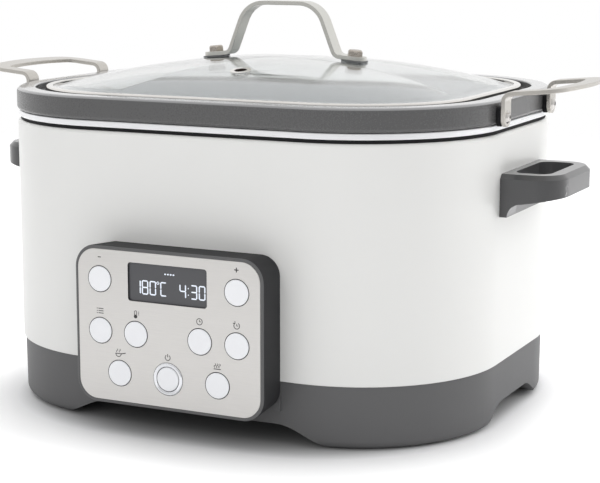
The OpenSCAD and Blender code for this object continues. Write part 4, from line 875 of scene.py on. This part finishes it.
land_coat_painted_sheen = material("land_coat_painted_sheen", (0.2, 0.2, 0.205), 0.3, size=1300, vary=0.03, Coat_Weight=1.0,
                     Coat_Roughness=0.06, Coat_IOR=1.8)
ceramic = material("ceramic_coat", (0.82, 0.84, 0.86), 0.42, size=260, vary=0.02)
to_piece(bm, "pot_with_collar", "pot", [pot_coat, ceramic, land_coat_painted_sheen],
         ["cooking_pot"])


# ---- Pot handles ----
# Each is one strip of warm satin steel, bent outwards above the land and bowed at the grip. Dome
# rivets fix it to the collar over black rubber pads, and the punch pits each dome.
satin_steel = material("satin_steel", (0.6, 0.575, 0.535), 0.3, metallic=1.0, size=2200,
                       depth=0.00001, vary=0.05, rough_vary=0.08)
for side in ("left", "right"):
    from_node("pot_handle_" + side, "pot_strip_" + side, "pot", satin_steel,
              edge=0.45 * mm)
from_node("pot_handle_pads", "handle_pads", "pot", black_rubber, edge=0.4 * mm)
rivet_steel = material("rivet_steel", (0.62, 0.6, 0.575), 0.12, metallic=1.0, size=300, vary=0.03)
rivet_pit_painted_shade = material("rivet_pit_painted_shade", (0.3, 0.29, 0.28), 0.4, metallic=1.0, size=300, vary=0.1)
rivet_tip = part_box("pot_rivets")[1].x
pit_rise, pit_depth, cut_slack = 0.14 * mm, 0.8 * mm, 0.01 * mm


def pitted(bm):
    """Sinks the tip of each dome to a small pit, painted darker as painted shade in the hollow."""
    for side in (-1, 1):
        sliced(bm, (side * (rivet_tip - pit_rise), 0, 0), (side, 0, 0))
    for face in bm.faces:
        in_pit = abs(face.calc_center_median().x) > rivet_tip - pit_rise
        face.material_index = 1 if in_pit else 0
    for vert in bm.verts:
        if abs(vert.co.x) > rivet_tip - pit_rise + cut_slack:
            vert.co.x -= pit_depth if vert.co.x > 0 else -pit_depth


from_node("pot_rivets", "dome_rivets", "pot", [rivet_steel, rivet_pit_painted_shade], sharp=40,
          change=pitted)


# ---- Lid glass ----
# A pane of soda-lime glass 4 mm thick, slumped to a low dome whose level edge sits in the steel
# rim. The holes for the steam vent and the handle's two bolts are drilled before it is tempered.
glass_low, glass_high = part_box("lid_glass")
glass_w, glass_d = glass_high.x - glass_low.x, glass_high.y - glass_low.y
glass_t = 4 * mm
glass_edge_z = glass_low.z
glass_corner = corner - (width - glass_w) / 2
dome_h = glass_high.z - glass_low.z - glass_t
dome_power, dome_share = 2.2, 0.95


def dome(share):
    """Height of the glass's upper face at a share of the way from its middle to its edge."""
    fall = 1 if share >= dome_share else (share / dome_share) ** dome_power
    return glass_edge_z + glass_t + dome_h * (1 - fall)


def rings_out(bm, loop, steps):
    """Draws a loop of edges through (share, height) steps of its size, and gives the last loop."""
    share_now = 1.0
    for share, height in steps:
        moved, loop = extruded(bm, loop)
        bmesh.ops.scale(bm, vec=(share / share_now, share / share_now, 1), verts=moved)
        for vert in moved:
            vert.co.z = height
        share_now = share
    return loop


bm = bmesh.new()
made = bmesh.ops.create_grid(bm, x_segments=1, y_segments=1, size=0.5)["verts"]
bmesh.ops.scale(bm, vec=(glass_w, glass_d, 1), verts=made)
bmesh.ops.bevel(bm, geom=made, offset=glass_corner, segments=32, affect="VERTICES", profile=0.5,
                material=-1)
bmesh.ops.delete(bm, geom=list(bm.faces), context="FACES_ONLY")
round_edge, edge_share = 0.6 * mm, 0.997
for vert in bm.verts:
    vert.co.z = glass_edge_z + round_edge
edge = list(bm.edges)

# The rings of the dome, as shares of its size, from its middle to its level edge
hub_share, first_share, share_step, last_share = 0.02, 0.06, 0.0445, 0.99
shares = [hub_share] + [first_share + share_step * ring for ring in range(21)]
shares = [share for share in shares if share < 0.985] + [last_share]
over = [(1, glass_edge_z + glass_t - round_edge), (edge_share, glass_edge_z + glass_t)]
over += [(share, dome(share)) for share in reversed(shares)]
under = [(edge_share, glass_edge_z)]
under += [(share, dome(share) - glass_t) for share in reversed(shares)]
for steps in (over, under):
    last = rings_out(bm, edge, steps)
    bmesh.ops.edgeloop_fill(bm, edges=last)
bmesh.ops.recalc_face_normals(bm, faces=bm.faces)
bmesh.ops.translate(bm, vec=(0, centre_y, 0), verts=bm.verts)


def tilt_at(reach, half):
    """The slope of the glass at a distance from its middle."""
    step = 0.5 * mm
    return atan2(dome((reach - step) / half) - dome((reach + step) / half), 2 * step)


def drilled(bm, spot, radius):
    """The pane with a hole drilled square to its face at a spot."""
    bit = bmesh.new()
    bmesh.ops.create_cone(bit, cap_ends=True, segments=48, radius1=radius, radius2=radius,
                          depth=30 * mm)
    bmesh.ops.transform(bit, matrix=spot, verts=bit.verts)
    things = []
    for name, shape in (("blank", bm), ("bit", bit)):
        mesh = bpy.data.meshes.new(name)
        shape.to_mesh(mesh)
        shape.free()
        things.append(bpy.data.objects.new(name, mesh))
        scene.collection.objects.link(things[-1])
    hole = things[0].modifiers.new("hole", "BOOLEAN")
    hole.operation, hole.solver, hole.object = "DIFFERENCE", "EXACT", things[1]
    bpy.context.view_layer.update()
    made = bmesh.new()
    made.from_object(things[0], bpy.context.evaluated_depsgraph_get())
    for thing in things:
        bpy.data.objects.remove(thing)
    return made


vent_y, vent_hole, bolt_x, bolt_hole = 66 * mm, 5.1 * mm, 53.7 * mm, 3.1 * mm
for x, y, radius in ((0, -vent_y, vent_hole), (-bolt_x, 0, bolt_hole), (bolt_x, 0, bolt_hole)):
    reach, half = (abs(x), glass_w / 2) if x else (abs(y), glass_d / 2)
    turn = Matrix.Rotation(tilt_at(reach, half) * (-1 if x < 0 else 1), 4, "Y" if x else "X")
    spot = Matrix.Translation((x, centre_y + y, dome(reach / half)))
    bm = drilled(bm, spot @ turn, radius)

# Clear and barely green, with faint smears from handling
glass_ior, smear_size, smear_detail, smear_rough = 1.5, 14.0, 5, 0.05
tint_deep, tint_pale = (0.965, 0.985, 0.98, 1), (0.98, 0.99, 0.985, 1)
clear_glass = bpy.data.materials.new("clear_glass")
clear_glass.use_nodes = True
tree = clear_glass.node_tree
shader = tree.nodes["Principled BSDF"]
shader.inputs["Transmission Weight"].default_value = 1.0
shader.inputs["IOR"].default_value = glass_ior
where = tree.nodes.new("ShaderNodeTexCoord")
smears = noise(tree, where.outputs["Object"], smear_size, smear_detail)
tint = tree.nodes.new("ShaderNodeValToRGB")
tint.color_ramp.elements[0].color = tint_deep
tint.color_ramp.elements[1].color = tint_pale
link(tree, smears, tint.inputs["Fac"])
link(tree, tint.outputs["Color"], shader.inputs["Base Color"])
link(tree, ranged(tree, smears, high=smear_rough), shader.inputs["Roughness"])
to_piece(bm, "glass_dome", "lid", clear_glass, ["lid_glass"], sharp=50)


# ---- Lid rim ----
# A channel of polished stainless steel is rolled round the edge of the glass. It sits on the
# collar's ledge and shows as a narrow bright line.
rim_low, rim_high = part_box("lid_rim")
rim_out = (rim_high.x - rim_low.x - width) / 2
rim_sheet, rim_width, rim_round = 0.8 * mm, 5 * mm, 1.4 * mm
rim_in, rim_inner = rim_out - rim_width, rim_out - rim_sheet
inner_top, inner_floor = rim_high.z - rim_sheet, rim_low.z + rim_sheet
polished_steel = material("polished_steel", (0.78, 0.76, 0.73), 0.16, metallic=1.0, size=300,
                          vary=0.03)
bm = swept([
    (rim_in, rim_low.z, 0.2 * mm), (rim_out, rim_low.z, rim_round),
    (rim_out, rim_high.z, rim_round), (rim_in, rim_high.z, 0.35 * mm), (rim_in, inner_top, 0),
    (rim_inner, inner_top, 0), (rim_inner, inner_floor, 0), (rim_in, inner_floor, 0)
])
to_piece(bm, "rolled_rim", "lid", polished_steel, ["lid_rim"])


# ---- Lid handle ----
# A strip of satin steel, bent to a tall arch, stands on silicone gaskets. Two hex bolts go through
# its feet and the glass, with round nuts below.
lid_satin = material("lid_satin", (0.67, 0.665, 0.625), 0.3, metallic=1.0, size=2200,
                     depth=0.00001, vary=0.04, rough_vary=0.08)
grey_silicone = material("grey_silicone", (0.16, 0.165, 0.165), 0.5, size=900, vary=0.05)
from_node("lid_handle", "lid_strip_handle", "lid", lid_satin, edge=0.45 * mm)
from_node("lid_gaskets", "foot_gaskets", "lid", grey_silicone, edge=0.3 * mm,
          steps=2)
bolt_steel = material("bolt_steel", (0.47, 0.43, 0.385), 0.26, metallic=1.0, size=500, vary=0.08)
from_node("lid_bolts", "hex_bolts", "lid", bolt_steel, edge=0.25 * mm, sharp=28,
          steps=2)
from_node("lid_nuts", "round_nuts", "lid", zinc_steel, edge=0.5 * mm)


# ---- Steam vent ----
# An eyelet of polished steel is rolled over both faces of the glass in front of the handle, and
# lets the steam out. Its bore is painted near black as painted shade inside the hole.
vent_low, vent_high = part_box("steam_vent")
vent_place = (vent_low + vent_high) / 2
bore_reach, bore_lean = 4.4 * mm, 0.6
bore_painted_shade = material("vent_bore_painted_shade", (0.035, 0.022, 0.018), 0.5, size=700, vary=0.2)


def painted_bore_shade(bm):
    """The eyelet's bore is painted near black, as painted shade inside the hole."""
    for face in bm.faces:
        spot = face.calc_center_median() - vent_place
        in_bore = spot.to_2d().length < bore_reach and abs(face.normal.z) < bore_lean
        face.material_index = 1 if in_bore else 0


from_node("steam_vent", "vent_eyelet", "lid", [polished_steel, bore_painted_shade],
          edge=0.2 * mm, sharp=40, change=painted_bore_shade)
